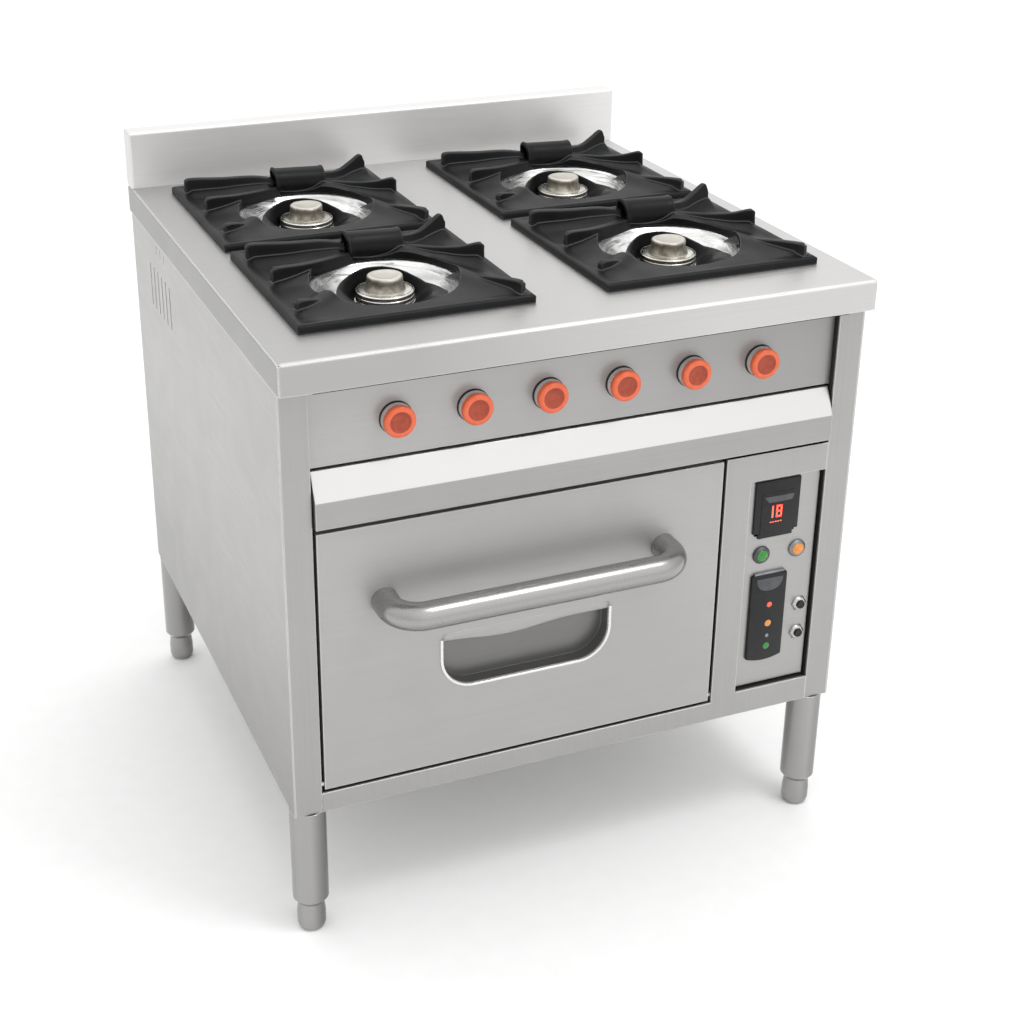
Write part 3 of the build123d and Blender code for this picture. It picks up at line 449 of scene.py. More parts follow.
def arc_points(cx, cz, radius, start, end, steps):
    """Points on an arc, angles in degrees."""
    spots = []
    for step in range(steps + 1):
        angle = radians(start + (end - start) * step / steps)
        spots.append((cx + radius * cos(angle), cz + radius * sin(angle)))
    return spots


def box_outline(x0, x1, z0, z1, radius=0.0):
    """Rectangle outline with rounded corners."""
    if not radius:
        return [(x0, z0), (x1, z0), (x1, z1), (x0, z1)]
    spots = []
    for x, z, start in (
        (x0 + radius, z0 + radius, 180), (x1 - radius, z0 + radius, 270),
        (x1 - radius, z1 - radius, 0), (x0 + radius, z1 - radius, 90),
    ):
        spots += arc_points(x, z, radius, start, start + 90, 5)
    return spots


def tube_piece(name, points, radius, material, body):
    """Round bar of sheet-coloured metal along a smooth line of points."""
    data = bpy.data.curves.new(name, "CURVE")
    data.dimensions = "3D"
    data.bevel_depth = radius
    data.bevel_resolution = 6
    data.use_fill_caps = True
    spline = data.splines.new("POLY")
    spline.points.add(len(points) - 1)
    for spot, point in zip(points, spline.points):
        point.co = (*spot, 1)
    curve = bpy.data.objects.new(name + "_line", data)
    bpy.context.scene.collection.objects.link(curve)
    graph = bpy.context.evaluated_depsgraph_get()
    mesh = bpy.data.meshes.new_from_object(curve.evaluated_get(graph))
    bpy.data.objects.remove(curve)
    mesh.materials.clear()
    mesh.materials.append(material)
    for polygon in mesh.polygons:
        polygon.use_smooth = True
    settle(name, mesh, body)


# ---- pot grates
GRATE_HALF = 171.6 * MM
BURNER_BACK = -30 * MM
PLATE_TOP = 937.6 * MM
PLATE_FOOT = 925.6 * MM
HOLE = 107 * MM
DISH_START = 43.4 * MM
DISH_FLOOR = 906.5 * MM
DISH_SAG = 3 * MM
STEEP_REACH = 30 * MM
BLEND = 40
SHELL = 4.5 * MM
BOWL_RIM = 931.5 * MM
SIDE_STEPS = 84
PLATE_STEPS = 34
DISH_STEPS = 12

# Low swells in the plate's own plan, millimetres: points (across, back, height), half width.
RIDGES = (
    (((-150, 121, 9), (-90, 112, 12), (-30, 98, 15)), 20),
    (((-146, 8, 7), (-96, 24, 10), (-40, 58, 15)), 18),
    (((-150, -112, 7), (-122, -98, 10), (-100, -78, 13)), 17),
    (((60, 92, 14), (104, 112, 11), (142, 120, 18)), 19),
    (((66, 70, 14), (104, 40, 9), (152, -6, 12)), 19),
    (((76, 8, 15), (100, -46, 12), (128, -104, 9), (152, -150, 9)), 20),
)

# Crest of the web that runs behind the burner, round the burner's centre:
# (angle in degrees, radius, height), millimetres.
CREST = (
    (-66, 107, 936), (-46, 99, 929), (-24, 84, 923), (0, 62, 924), (20, 52, 931), (45, 47.5, 937),
    (75, 47, 940), (110, 47, 941), (140, 49, 940), (160, 56, 938), (178, 68, 935), (196, 83, 931),
    (212, 97, 930), (226, 107, 935),
)

# Fingers that stand on the plate: crest points (across, back, top), half width at crest and root.
FINGERS = (
    (((-161, 122, 958), (-150, 121, 962), (-100, 114, 960), (-52, 106, 960), (-18, 97, 956)), 6.5, 10),
    (((-155, 8, 956), (-146, 9, 960), (-104, 26, 955), (-62, 48, 951), (-22, 74, 947)), 5.5, 8),
    (((-157, -113, 949), (-150, -112, 952), (-136, -106, 950), (-120, -97, 945), (-104, -88, 938)),
     6, 10),
    (((150, 119, 962), (142, 119, 975), (124, 115, 966), (104, 108, 957), (84, 98, 956), (64, 92, 958)),
     4.5, 9),
    (((162, -6, 961), (154, -4, 965), (132, 14, 957), (106, 42, 951), (66, 76, 949)), 5, 8),
    (((159, -160, 951), (152, -152, 955), (134, -112, 950), (116, -72, 943), (104, -40, 937)), 6, 11),
)
FINGER_ROOT = 933 * MM
CREST_DROP = 4.9 * MM


def ridge_height(u, v):
    """Height of the swells above the plate at a plan point."""
    total = 0.0
    for line, width in RIDGES:
        best = 0.0
        for (u0, v0, h0), (u1, v1, h1) in zip(line, line[1:]):
            run = (u1 - u0) ** 2 + (v1 - v0) ** 2
            part = max(0.0, min(1.0, ((u - u0) * (u1 - u0) + (v - v0) * (v1 - v0)) / run))
            gap = hypot(u - u0 - part * (u1 - u0), v - v0 - part * (v1 - v0)) / width
            best = max(best, (h0 + part * (h1 - h0)) / (1 + gap ** 3))
        total += best ** 3
    return total ** (1 / 3)


def hole_edge(turn):
    """Radius of the hole in the plate; the rear edge comes forward under the saddle."""
    return HOLE - 4 * MM * max(0.0, sin(turn)) ** 6


def crest_at(angle):
    """Crest radius and height, or the hole's own edge in front of the burner."""
    turn = (angle + 90) % 360 - 90
    turns = [c[0] for c in CREST]
    if turn < turns[0] or turn > turns[-1]:
        return HOLE, None
    radius = np.interp(turn, turns, [c[1] for c in CREST]) * MM
    height = np.interp(turn, turns, [c[2] for c in CREST]) * MM
    return float(radius), float(height)


def plate_height(u, v):
    """Top surface of the plate with its swells and bevelled rim, metres."""
    edge = GRATE_HALF - max(abs(u), abs(v))
    ridge = ridge_height(u / MM, v / MM) * MM
    fade = min(1.0, max(0.0, edge - 6 * MM) / (14 * MM))
    swell = 0.8 * MM * noise.noise(Vector((u * 22, v * 22, 0)))
    dip = -2.5 * MM * max(0.0, 1 - edge / (3 * MM))
    dip -= 3.0 * MM * min(1.0, max(0.0, (edge - 8 * MM) / (10 * MM)))
    return PLATE_TOP + dip + (ridge + swell) * fade


def spoke_point(angle, distance):
    """Plan point at an angle and a distance from the burner's axis."""
    return cos(angle) * distance, sin(angle) * distance + BURNER_BACK


def square_rim():
    """Evenly spaced plan points round the plate's edge, corners included."""
    spots = []
    corners = ((-1, -1), (1, -1), (1, 1), (-1, 1))
    for index, (u0, v0) in enumerate(corners):
        u1, v1 = corners[(index + 1) % 4]
        for step in range(SIDE_STEPS):
            part = step / SIDE_STEPS
            spots.append((
                GRATE_HALF * (u0 + part * (u1 - u0)), GRATE_HALF * (v0 + part * (v1 - v0)),
            ))
    return spots


def grate_surface():
    """Points and faces of the casting's top skin, dish and plate, about the plate's centre."""
    verts, open_spokes = [], []
    for u1, v1 in square_rim():
        angle = atan2(v1 - BURNER_BACK, u1)
        reach = hypot(u1, v1 - BURNER_BACK)
        radius, crest = crest_at(degrees(angle))
        open_spokes.append(radius < HOLE - 0.5 * MM)
        top = crest if open_spokes[-1] else plate_height(*spoke_point(angle, HOLE))
        turn = (degrees(angle) + 90) % 360 - 90
        behind = max(0.0, min(1.0, (turn - CREST[0][0]) / BLEND, (CREST[-1][0] - turn) / BLEND))
        steep = 1 + behind * max(0.0, (radius - DISH_START) / STEEP_REACH - 1)
        for ring in range(DISH_STEPS + 1):
            part = ring / DISH_STEPS
            rise = min(1.0, part * steep)
            rise = rise * rise * (3 - 2 * rise)
            sag = DISH_SAG * sin(pi * part) if crest is None else 0.0
            spot = spoke_point(angle, DISH_START + (radius - DISH_START) * part)
            verts.append((*spot, DISH_FLOOR + (top - DISH_FLOOR) * rise - sag))
        edge = hole_edge(angle)
        u, v = spoke_point(angle, edge)
        verts.append((u, v, BOWL_RIM if open_spokes[-1] else plate_height(u, v)))
        for ring in range(PLATE_STEPS + 1):
            part = 1 - (1 - ring / PLATE_STEPS) ** 1.25
            u, v = spoke_point(angle, edge + (reach - edge) * part)
            verts.append((u, v, plate_height(u, v)))
        verts.append((u1, v1, PLATE_FOOT))
    per_spoke = DISH_STEPS + PLATE_STEPS + 4
    count = len(open_spokes)
    faces = []
    for index, quad in enumerate(strip_faces(count, per_spoke, closed=True)):
        spoke, ring = divmod(index, per_spoke - 1)
        gap = open_spokes[spoke] or open_spokes[(spoke + 1) % count]
        if ring != DISH_STEPS or not gap:
            faces.append(quad)
    return verts, faces


def smooth_line(points, steps):
    """Catmull-Rom points through a polyline."""
    spots = [Vector(p) for p in points]
    spots = [spots[0] * 2 - spots[1]] + spots + [spots[-1] * 2 - spots[-2]]
    made = []
    for a, b, c, d in zip(spots, spots[1:], spots[2:], spots[3:]):
        for step in range(steps):
            t = step / steps
            made.append(0.5 * (
                2 * b + (c - a) * t + (2 * a - 5 * b + 4 * c - d) * t * t
                + (3 * b - a - 3 * c + d) * t ** 3
            ))
    made.append(spots[-2])
    return made


def finger_surface(points, top_half, root_half):
    """One finger: a drafted bar with a rounded crest, blunt at its outer end."""
    line = smooth_line(points, 6)
    verts = []
    profile = (
        (-1.0, 0.0, 1), (-0.94, 0.35, 1), (-0.86, 0.75, 1), (-1.0, -0.18, 0), (-0.8, -0.05, 0),
        (-0.4, 0.0, 0), (0.4, 0.0, 0), (0.8, -0.05, 0), (1.0, -0.18, 0), (0.86, 0.75, 1),
        (0.94, 0.35, 1), (1.0, 0.0, 1),
    )
    total = len(line)
    for index, spot in enumerate(line):
        ahead = line[min(index + 1, total - 1)] - line[max(index - 1, 0)]
        ahead.z = 0
        ahead.normalize()
        side = Vector((ahead.y, -ahead.x, 0))
        start = min(1.0, 0.72 + 0.28 * index / 2)
        flare = 1.0 + 0.9 * (index / (total - 1)) ** 3
        height = spot.z * MM - FINGER_ROOT
        for across, rise, low in profile:
            if low:
                half = root_half * flare + (top_half - root_half * flare) * rise
                level = FINGER_ROOT + height * 0.92 * rise
            else:
                half = top_half
                level = FINGER_ROOT + height + rise * CREST_DROP
            place = Vector((spot.x, spot.y, 0)) + side * (across * half * start)
            verts.append((place.x * MM, place.y * MM, level))
    row = len(profile)
    faces = strip_faces(total, row)
    faces.append(tuple(range(row)))
    faces.append(tuple(reversed(range((total - 1) * row, total * row))))
    for index in range(total - 1):
        faces.append((index * row, (index + 1) * row, (index + 2) * row - 1, (index + 1) * row - 1))
    return verts, faces


SADDLE_SPAN = (-17 * MM, 66 * MM)
SADDLE_BACK = 91 * MM
SADDLE_SPRING = (954.5 * MM, 951 * MM)
SADDLE_RADIUS = 18.5 * MM
SADDLE_SKIRT = 30 * MM
SADDLE_LEAN = 3 * MM
SADDLE_ENDS = 14
SADDLE_STEPS = 26


def saddle_surface():
    """Half-round bridge behind the burner, its left end flared like a turned hem."""
    verts = []
    for across in range(SADDLE_ENDS + 1):
        part = across / SADDLE_ENDS
        u = SADDLE_SPAN[0] + part * (SADDLE_SPAN[1] - SADDLE_SPAN[0])
        flare = 2.4 * MM * (max(0.0, 1 - part / 0.08) + 0.6 * max(0.0, 1 - (1 - part) / 0.09))
        radius = SADDLE_RADIUS + flare
        spring = SADDLE_SPRING[0] + part * (SADDLE_SPRING[1] - SADDLE_SPRING[0])
        for step in range(SADDLE_STEPS + 1):
            turn = -40 + 260 * step / SADDLE_STEPS
            rise = sin(radians(turn))
            depth = radius * cos(radians(turn)) * (1.0 if 0 <= turn <= 180 else 1.12)
            height = radius * max(0.0, rise) + SADDLE_SKIRT * min(0.0, rise)
            lean = -SADDLE_LEAN * (1 - part) * max(0.0, rise)
            verts.append((u + lean, SADDLE_BACK + depth, spring + height))
    return verts, strip_faces(SADDLE_ENDS + 1, SADDLE_STEPS + 1)


def grate_mesh(material):
    """One finished casting about its own centre, shared by the four grates."""
    shapes = [("skin", grate_surface(), SHELL), ("saddle", saddle_surface(), 6 * MM)]
    shapes += [
        (f"finger_{index}", finger_surface(*finger), 0.0) for index, finger in enumerate(FINGERS)
    ]
    parts = []
    for label, (verts, faces), thick in shapes:
        mesh = bpy.data.meshes.new("grate_" + label)
        mesh.from_pydata(verts, [], faces)
        mesh.update()
        part = bpy.data.objects.new("grate_" + label, mesh)
        bpy.context.scene.collection.objects.link(part)
        tidy_mesh(part)
        if thick:
            if sum(p.normal.z * p.area for p in part.data.polygons) < 0:
                part.data.flip_normals()
            thicken(part, thick, -1)
        if label != "skin":
            soft = part.modifiers.new("soft", "BEVEL")
            soft.width = 1.3 * MM
            soft.segments = 2
            soft.limit_method = "ANGLE"
            soft.angle_limit = radians(38)
        apply_modifiers(part)
        parts.append(part)
    work = bmesh.new()
    for part in parts:
        work.from_mesh(part.data)
        bpy.data.objects.remove(part)
    joined = bpy.data.meshes.new("pot_grate")
    work.to_mesh(joined)
    work.free()
    joined.materials.append(material)
    for polygon in joined.polygons:
        polygon.use_smooth = True
    joined.set_sharp_from_angle(angle=radians(55))
    return joined


def add_grates(material):
    """The four castings, each in place of its CAD solid."""
    shared = grate_mesh(material)
    for place in PLACES:
        low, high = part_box("grate_" + place)
        middle = (low + high) / 2
        mesh = shared.copy()
        mesh.transform(Matrix.Translation((middle.x, middle.y, 0)))
        settle("pot_grate_" + place, mesh, "grate_body_" + place, "grate_" + place)


PLACES = ("front_left", "front_right", "rear_left", "rear_right")


def burner_centre(place):
    """Plan point of a burner's axis."""
    low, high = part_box("burner_cap_" + place)
    return (low + high) / 2


BOWL_SEGMENTS = 160


def add_bowls(material):
    """Polished bowls whose rear wall shows behind each burner."""
    rings = (
        (48, 882), (50, 882.4), (56, 883.6), (64, 888.5), (73, 895), (82, 902), (90, 908.5),
        (97, 915), (102, 921), (105, 926), (106.5, 930),
    )
    for number, place in enumerate(PLACES):
        centre = burner_centre(place)
        verts = []
        for step in range(BOWL_SEGMENTS):
            angle = 2 * pi * step / BOWL_SEGMENTS
            for radius, height in rings:
                share = min(1.0, (radius - 48) / 30) * min(1.0, (930.5 - height) / 6)
                fold = noise.noise(Vector((
                    2.4 * cos(angle) + number, 2.4 * sin(angle), height * 0.11,
                )))
                crease = noise.noise(Vector((9 * cos(angle), 9 * sin(angle), height * 0.16 + number)))
                wave = (2.2 * fold + 0.6 * crease) * share
                spot = (radius + wave) * MM
                verts.append((
                    centre.x + spot * cos(angle), centre.y + spot * sin(angle),
                    (height - 0.4 * wave) * MM,
                ))
        faces = strip_faces(BOWL_SEGMENTS, len(rings), closed=True)
        stands_for = () if number else "spill_bowls"
        piece = add_piece(
            "bowl_" + place, verts, faces, [material], "cabinet", "polished_bowl", stands_for
        )
        tidy_mesh(piece)
        thicken(piece, 1.2 * MM, 0)


def add_caps(material):
    """Cast caps: rounded shoulder, brightened by a painted highlight, and a dished, slightly sagging
    top.
    """
    for place in PLACES:
        centre = burner_centre(place)
        low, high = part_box("burner_cap_" + place)
        top, radius = (high.z - low.z) / MM, (high.x - low.x) / 2 / MM
        profile = [
            (0, top - 2.0), (0.35 * radius, top - 1.8), (0.60 * radius, top - 1.0),
            (0.70 * radius, top - 0.1), (0.78 * radius, top - 0.2), (0.845 * radius, top - 1.5),
            (0.87 * radius, top - 3.6), (0.86 * radius, top - 7), (0.885 * radius, 0.4 * top),
            (0.95 * radius, 3.5), (radius, 1), (radius, 0.1), (0.70 * radius, 0.1),
            (0.68 * radius, top - 11), (0, top - 11),
        ]

        def sag(angle, spot):
            """The rim dips a little at front and back."""
            if spot <= 0.5 * radius:
                return 0
            return -1.6 * (spot / radius) ** 2 * (0.5 - 0.5 * cos(2 * angle))

        lathe(
            "cap_" + place, (centre.x, centre.y, low.z), profile, [material], "cap_body_" + place,
            "cast_burner", axis="Z", wobble=sag, replaces="burner_cap_" + place,
        )


# Outer radius of the rings and the step from one to the next, millimetres.
STACK = 42.4
RING_PITCH = 6.2


def add_ring_stacks(bright, dark):
    """Three turned rings with dark grooves between them, round each burner's neck."""
    profile, shades = [(STACK - 1.5, 0)], []
    for step in range(3):
        level = -RING_PITCH * step
        profile += [
            (STACK - 0.9, level), (STACK, level - 0.9), (STACK, level - 3.8),
            (STACK - 0.9, level - 4.7), (STACK - 1.2, level - 4.8), (STACK - 1.2, level - 6.1),
        ]
        shades += [0, 0, 0, 0, 0, 1]
    for place in PLACES:
        centre = burner_centre(place)
        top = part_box("burner_cap_" + place)[0].z - 0.6 * MM
        piece = lathe(
            "ring_stack_" + place, (centre.x, centre.y, top), profile, [bright, dark], "cabinet",
            "cast_burner", axis="Z", shades=shades,
        )
        thicken(piece, 0.3 * MM, -1)


# ---- knobs and controls
def front_of(node, panel):
    """Centre of a round part's front, then its radius and the panel's depth behind it in mm."""
    low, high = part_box(node)
    spot = ((low.x + high.x) / 2, low.y, (low.z + high.z) / 2)
    return spot, (high.x - low.x) / 2 / MM, (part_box(panel)[0].y - low.y) / MM


def add_knobs(red, steel, dark):
    """Orange-red caps with a dished centre on a tapered steel skirt."""
    for number in range(1, 7):
        spot, rim, deep = front_of(f"knob_{number}", "control_panel")
        body = f"knob_body_{number}"
        cap = [
            (0, 3.4), (7, 3.3), (11.5, 2.9), (13.8, 1.8), (15.2, 0.5), (16.4, 0.1), (18.4, 0),
            (rim - 2.2, 0.7), (rim - 0.6, 2.3), (rim - 0.1, 4.4), (rim - 0.3, 9), (rim - 3, 9),
            (0, 9),
        ]
        lathe(
            f"knob_cap_{number}", spot, cap, red, body, "red_plastic",
            shades=[1] * 4 + [0] * 8, replaces=f"knob_{number}",
        )
        skirt = [
            (0, 9), (rim - 1.2, 9), (rim - 0.8, 9.8), (rim - 0.1, deep - 3.6),
            (rim - 0.4, deep - 2.8), (0, deep - 2.8),
        ]
        lathe(f"knob_skirt_{number}", spot, skirt, [steel], body, "stainless_tube")
        ring = [
            (6.2, deep), (6.2, deep - 1.9), (rim + 0.2, deep - 1.9), (rim + 0.9, deep - 1),
            (rim + 0.9, deep), (6.2, deep),
        ]
        stands_for = "knob_collars" if number == 1 else ()
        name = f"knob_ring_{number}"
        lathe(name, spot, ring, [dark], "cabinet", "dark_collar", replaces=stands_for)


SEGMENTS = {
    "1": "bc", "8": "abcdefg", "5": "acdfg", "0": "abcdef", "2": "abdeg",
}


def segment_bars(digit, x, z, width, height, stroke):
    """Outlines of the lit bars of one seven-bar digit, (x, z) rectangles."""
    half = height / 2
    bars = {
        "a": (x, x + width, z + height - stroke, z + height),
        "g": (x, x + width, z + half - stroke / 2, z + half + stroke / 2),
        "d": (x, x + width, z, z + stroke),
        "f": (x, x + stroke, z + half, z + height),
        "b": (x + width - stroke, x + width, z + half, z + height),
        "e": (x, x + stroke, z, z + half),
        "c": (x + width - stroke, x + width, z, z + half),
    }
    return [bars[key] for key in SEGMENTS[digit]]


def add_controller(black, grey_black, glow):
    """Black controller: notched lower corners, raised window, red digits."""
    low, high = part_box("temperature_controller")
    x0, x1, z0, z1 = low.x, high.x, low.z, high.z
    front, back = low.y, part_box("niche_panel")[0].y
    notch = 9 * MM
    outline = [
        (x0 + notch, z0), (x1 - notch, z0), (x1 - notch, z0 + notch), (x1, z0 + notch),
        (x1, z1), (x0, z1), (x0, z0 + notch), (x0 + notch, z0 + notch),
    ]
    prism(
        "controller_case", outline, front + 2.2 * MM, back, black,
        bevel=1.2 * MM, replaces="temperature_controller",
    )
    margin = 11 * MM
    window = box_outline(x0 + margin, x1 - margin, z0 + 5 * MM, z1 - 20 * MM, 2 * MM)
    prism(
        "controller_face", window, front + 1.2 * MM, front + 2.6 * MM, black,
        bevel=0.9 * MM,
    )
    brow = [
        (x0 + 23 * MM, z1 - 36 * MM), (x1 - 15 * MM, z1 - 36 * MM), (x1 - 11 * MM, z1 - 26 * MM),
        (x0 + 15 * MM, z1 - 26 * MM),
    ]
    prism(
        "controller_brow", brow, front, front + 1.6 * MM, grey_black,
        bevel=1.1 * MM,
    )
    verts, faces = [], []
    digit_z = z0 + 34 * MM
    bars = segment_bars("1", x0 + 24 * MM, digit_z, 8 * MM, 20 * MM, 2.6 * MM)
    bars += segment_bars("8", x0 + 37 * MM, digit_z, 10 * MM, 20 * MM, 2.6 * MM)
    dash = 1.6 * MM
    for step in range(5):
        start = x0 + (27 + 4.4 * step) * MM
        bars.append((start, start + 2.8 * MM, digit_z - 8 * MM, digit_z - 8 * MM + dash))
    plane_front, plane_back = front + 0.9 * MM, front + 1.5 * MM
    for a, b, c, d in bars:
        start = len(verts)
        for y in (plane_front, plane_back):
            verts += [(a, y, c), (b, y, c), (b, y, d), (a, y, d)]
        faces += [tuple(start + k for k in quad) for quad in (
            (0, 1, 2, 3), (7, 6, 5, 4), (0, 4, 5, 1), (1, 5, 6, 2), (2, 6, 7, 3), (3, 7, 4, 0),
        )]
    slot = "red_plastic"
    add_piece("controller_digits", verts, faces, [glow], "cabinet", slot, smooth=False)


def add_lamp(node, bezel, colour, slot):
    """Tapered pilot lamp: a bezel cone and a domed coloured lens."""
    spot, radius, deep = front_of(node, "niche_panel")
    cone = [
        (0, 2.6), (0.68 * radius, 2.6), (0.73 * radius, 2.2), (0.80 * radius, 3),
        (0.94 * radius, deep - 3.5), (radius, deep - 2.2), (radius, deep), (0, deep),
    ]
    lathe(node + "_bezel", spot, cone, [bezel], "cabinet", "pin_steel", replaces=node)
    dome = [
        (0, 0), (0.30 * radius, 0.25), (0.52 * radius, 1), (0.66 * radius, 2.1),
        (0.68 * radius, 3.2), (0, 3.2),
    ]
    lathe(node + "_lens", spot, dome, [colour], "cabinet", slot)


def add_timer(black, pad_black, lenses, edge_grey):
    """Long black module: bulged foot, shield pad, three small lamps and a grey pip."""
    low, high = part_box("timer_module")
    x0, x1, z0, z1 = low.x, high.x, low.z, high.z
    front, back = low.y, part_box("niche_panel")[0].y
    width = x1 - x0
    middle = (x0 + x1) / 2
    foot_radius = width * 1.35
    half_turn = degrees(np.arcsin(width / 2 / foot_radius))
    centre_z = z0 + foot_radius
    outline = arc_points(middle, centre_z, foot_radius, 270 - half_turn, 270 + half_turn, 14)
    outline += arc_points(x1 - 5 * MM, z1 - 5 * MM, 5 * MM, 0, 90, 5)
    outline += arc_points(x0 + 5 * MM, z1 - 5 * MM, 5 * MM, 90, 180, 5)
    prism(
        "timer_case", outline, front + 1.7 * MM, back, black,
        bevel=2.2 * MM, replaces="timer_module",
    )
    top = z1 - 7 * MM
    pad = [(x0 + 8 * MM, top), (x0 + 9 * MM, top - 8 * MM)]
    pad += [
        (middle + 21 * MM * cos(radians(turn)), top - 9 * MM + 13 * MM * sin(radians(turn)))
        for turn in range(200, 341, 12)
    ]
    pad += [(x1 - 9 * MM, top - 8 * MM), (x1 - 8 * MM, top)]
    prism(
        "timer_pad", list(reversed(pad)), front, front + 2.6 * MM, pad_black,
        bevel=1.5 * MM,
    )
    prism(
        "timer_clip", box_outline(x0 + 5 * MM, x1 - 5 * MM, z1 - 1 * MM, z1 + 3 * MM, 1 * MM),
        front + 3 * MM, back, edge_grey, bevel=0.6 * MM,
    )
    x = middle + 3 * MM
    for label, share, radius, colour in (
        ("red", 0.645, 5, lenses[0]), ("amber", 0.43, 6.2, lenses[1]),
        ("pip", 0.285, 3.6, edge_grey), ("green", 0.165, 6.2, lenses[2]),
    ):
        dome = [
            (0, 0.3), (0.5 * radius, 0.6), (0.85 * radius, 1.3), (radius, 2.2), (radius, 3), (0, 3),
        ]
        slot = "amber_lens" if label == "amber" else "green_lens"
        spot = (x, front, z0 + share * (z1 - z0))
        lathe("timer_lamp_" + label, spot, dome, [colour], "cabinet", slot, segments=40)


def add_buttons(black, steel):
    """Black dished plungers in six-sided nuts."""
    for label in ("upper", "lower"):
        node = "button_" + label
        spot, radius, _ = front_of(node, "niche_panel")
        back = (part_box(node)[1].y - spot[1]) / MM
        plunger = [
            (0, 0.9), (0.45 * radius, 0.7), (0.75 * radius, 0.1), (0.88 * radius, 0.3),
            (0.97 * radius, 1.4), (0.985 * radius, 3), (0.985 * radius, back), (0, back),
        ]
        body = "button_body_" + label
        lathe("plunger_" + label, spot, plunger, [black], body, "black_plastic", replaces=node)
    (x, y, _), _, deep = front_of("button_nuts", "niche_panel")
    nut = [
        (7.4, 0), (9.4, 0), (10.6, 1), (13.2, deep - 1.4), (13.2, deep), (7.4, deep), (7.4, 0),
    ]
    for label, stands_for in (("upper", "button_nuts"), ("lower", ())):
        height = front_of("button_" + label, "niche_panel")[0][2]
        lathe(
            "nut_" + label, (x, y, height), nut, [steel], "cabinet", "pin_steel",
            segments=6, replaces=stands_for,
        )


# ---- door pocket
def add_pocket_details(steel, lip_steel):
    """Rolled lip round the finger pocket and the drooping skin above it."""
    low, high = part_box("door_pocket")
    sheet = 2 * MM
    x0, x1 = low.x + sheet, high.x - sheet
    z0, z1 = low.z + sheet, high.z - sheet
    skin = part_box("door_skin")[0].y
    corner = 48 * MM
    lip = 2.6 * MM
    line = [(x0 - lip, z1)]
    line += arc_points(x0 + corner, z0 + corner, corner + lip, 180, 270, 12)
    line += arc_points(x1 - corner, z0 + corner, corner + lip, 270, 360, 12)
    line += [(x1 + lip, z1)]
    points = [(x, skin - 0.3 * MM, z) for x, z in line]
    tube_piece("pocket_lip", points, lip, lip_steel, "door")
    reach = 8 * MM
    steps = 28
    verts = []
    for step in range(steps + 1):
        part = step / steps
        x = x0 - 1 * MM + part * (x1 - x0 + 2 * MM)
        droop = (4 + 11 * sin(pi * min(1.0, part * 1.25)) ** 2 * (1 - 0.55 * part)) * MM
        for back, share in ((0.3, 0), (-0.25, 0.10), (-0.5, 0.85), (0.7, 1)):
            verts.append((x, skin + back * MM, z1 + reach - share * (reach + droop)))
    faces = strip_faces(steps + 1, 4)
    piece = add_piece("pocket_brow", verts, faces, [steel], "door", "stainless_sheet")
    tidy_mesh(piece)
    thicken(piece, 0.4 * MM, 0)


# ---- stage and light
def add_floor():
    """Plain pale floor."""
    look = Look("floor_paper")
    grain = look.noise(30.0, detail=3.0)
    tone = look.mix(look.spread(grain), grey(0.93), grey(0.95))
    mesh = bpy.data.meshes.new("floor")
    corners = [(-30, -30, 0), (30, -30, 0), (30, 30, 0), (-30, 30, 0)]
    mesh.from_pydata(corners, [], [(0, 1, 2, 3)])
    mesh.materials.append(look.done(tone, 0.9))
    floor = bpy.data.objects.new("floor", mesh)
    bpy.context.scene.collection.objects.link(floor)


SKY_BASE = 0.74
SKY = (
    ((0.0, 0.0, 1.0), 1.0, 0.20),
    ((0.30, -0.85, 0.46), 3.0, 0.62),
    ((0.30, 0.80, 0.50), 4.0, 0.30),
    ((-0.80, 0.10, 0.60), 2.0, 0.30),
)
LAMPS = (
    ("key", (1.0, -1.5, 3.4), (0, -0.1, 0.7), 1.0, 1.0, 26),
    ("top", (0.3, 1.4, 3.4), (0, 0, 0.9), 2.4, 1.6, 16),
)


def add_sky():
    """Soft white surround, brighter toward the directions in SKY."""
    world = bpy.data.worlds.new("studio")
    world.use_nodes = True
    bpy.context.scene.world = world
    sky = Nodes(world.node_tree)
    direction = sky.node("TexCoord").outputs["Generated"]
    total = SKY_BASE
    for toward, power, strength in SKY:
        facing = sky.dot(direction, Vector(toward).normalized())
        lobe = sky.math("POWER", sky.math("MAXIMUM", facing, 0.0), power)
        total = sky.math("MULTIPLY_ADD", lobe, strength, total)
    backdrop = world.node_tree.nodes["Background"]
    sky.join((1.0, 1.0, 0.995), backdrop.inputs["Color"])
    sky.join(total, backdrop.inputs["Strength"])
    bpy.context.scene.view_settings.view_transform = "Standard"


def add_lamps():
    """Soft studio lamps."""
    for name, place, aim, size_x, size_y, power in LAMPS:
        data = bpy.data.lights.new(name, "AREA")
        data.shape = "RECTANGLE"
        data.size, data.size_y = size_x, size_y
        data.energy = power
        lamp = bpy.data.objects.new(name, data)
        away = (Vector(place) - Vector(aim)).normalized()
        lamp.rotation_euler = away.to_track_quat("Z", "Y").to_euler()
        lamp.location = place
        bpy.context.scene.collection.objects.link(lamp)


# ---- painted shadow strips and weld
def add_shadow_strips(dark):
    """Near-black strips that paint the shadow under the apron and beside the control panel."""
    low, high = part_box("control_panel")
    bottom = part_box("worktop")[0]
    lines = (
        ("painted_shadow_apron", box_outline(low.x, high.x, bottom.z - 1.2 * MM, bottom.z + 0.2 * MM),
         bottom.y + 0.4 * MM),
        ("painted_shadow_panel", box_outline(low.x - 0.3 * MM, low.x + 1.0 * MM, low.z, bottom.z),
         low.y - 0.15 * MM),
    )
    for name, outline, front in lines:
        prism(name, outline, front, front + 1.5 * MM, dark)


DOOR_EDGE = -404 * MM


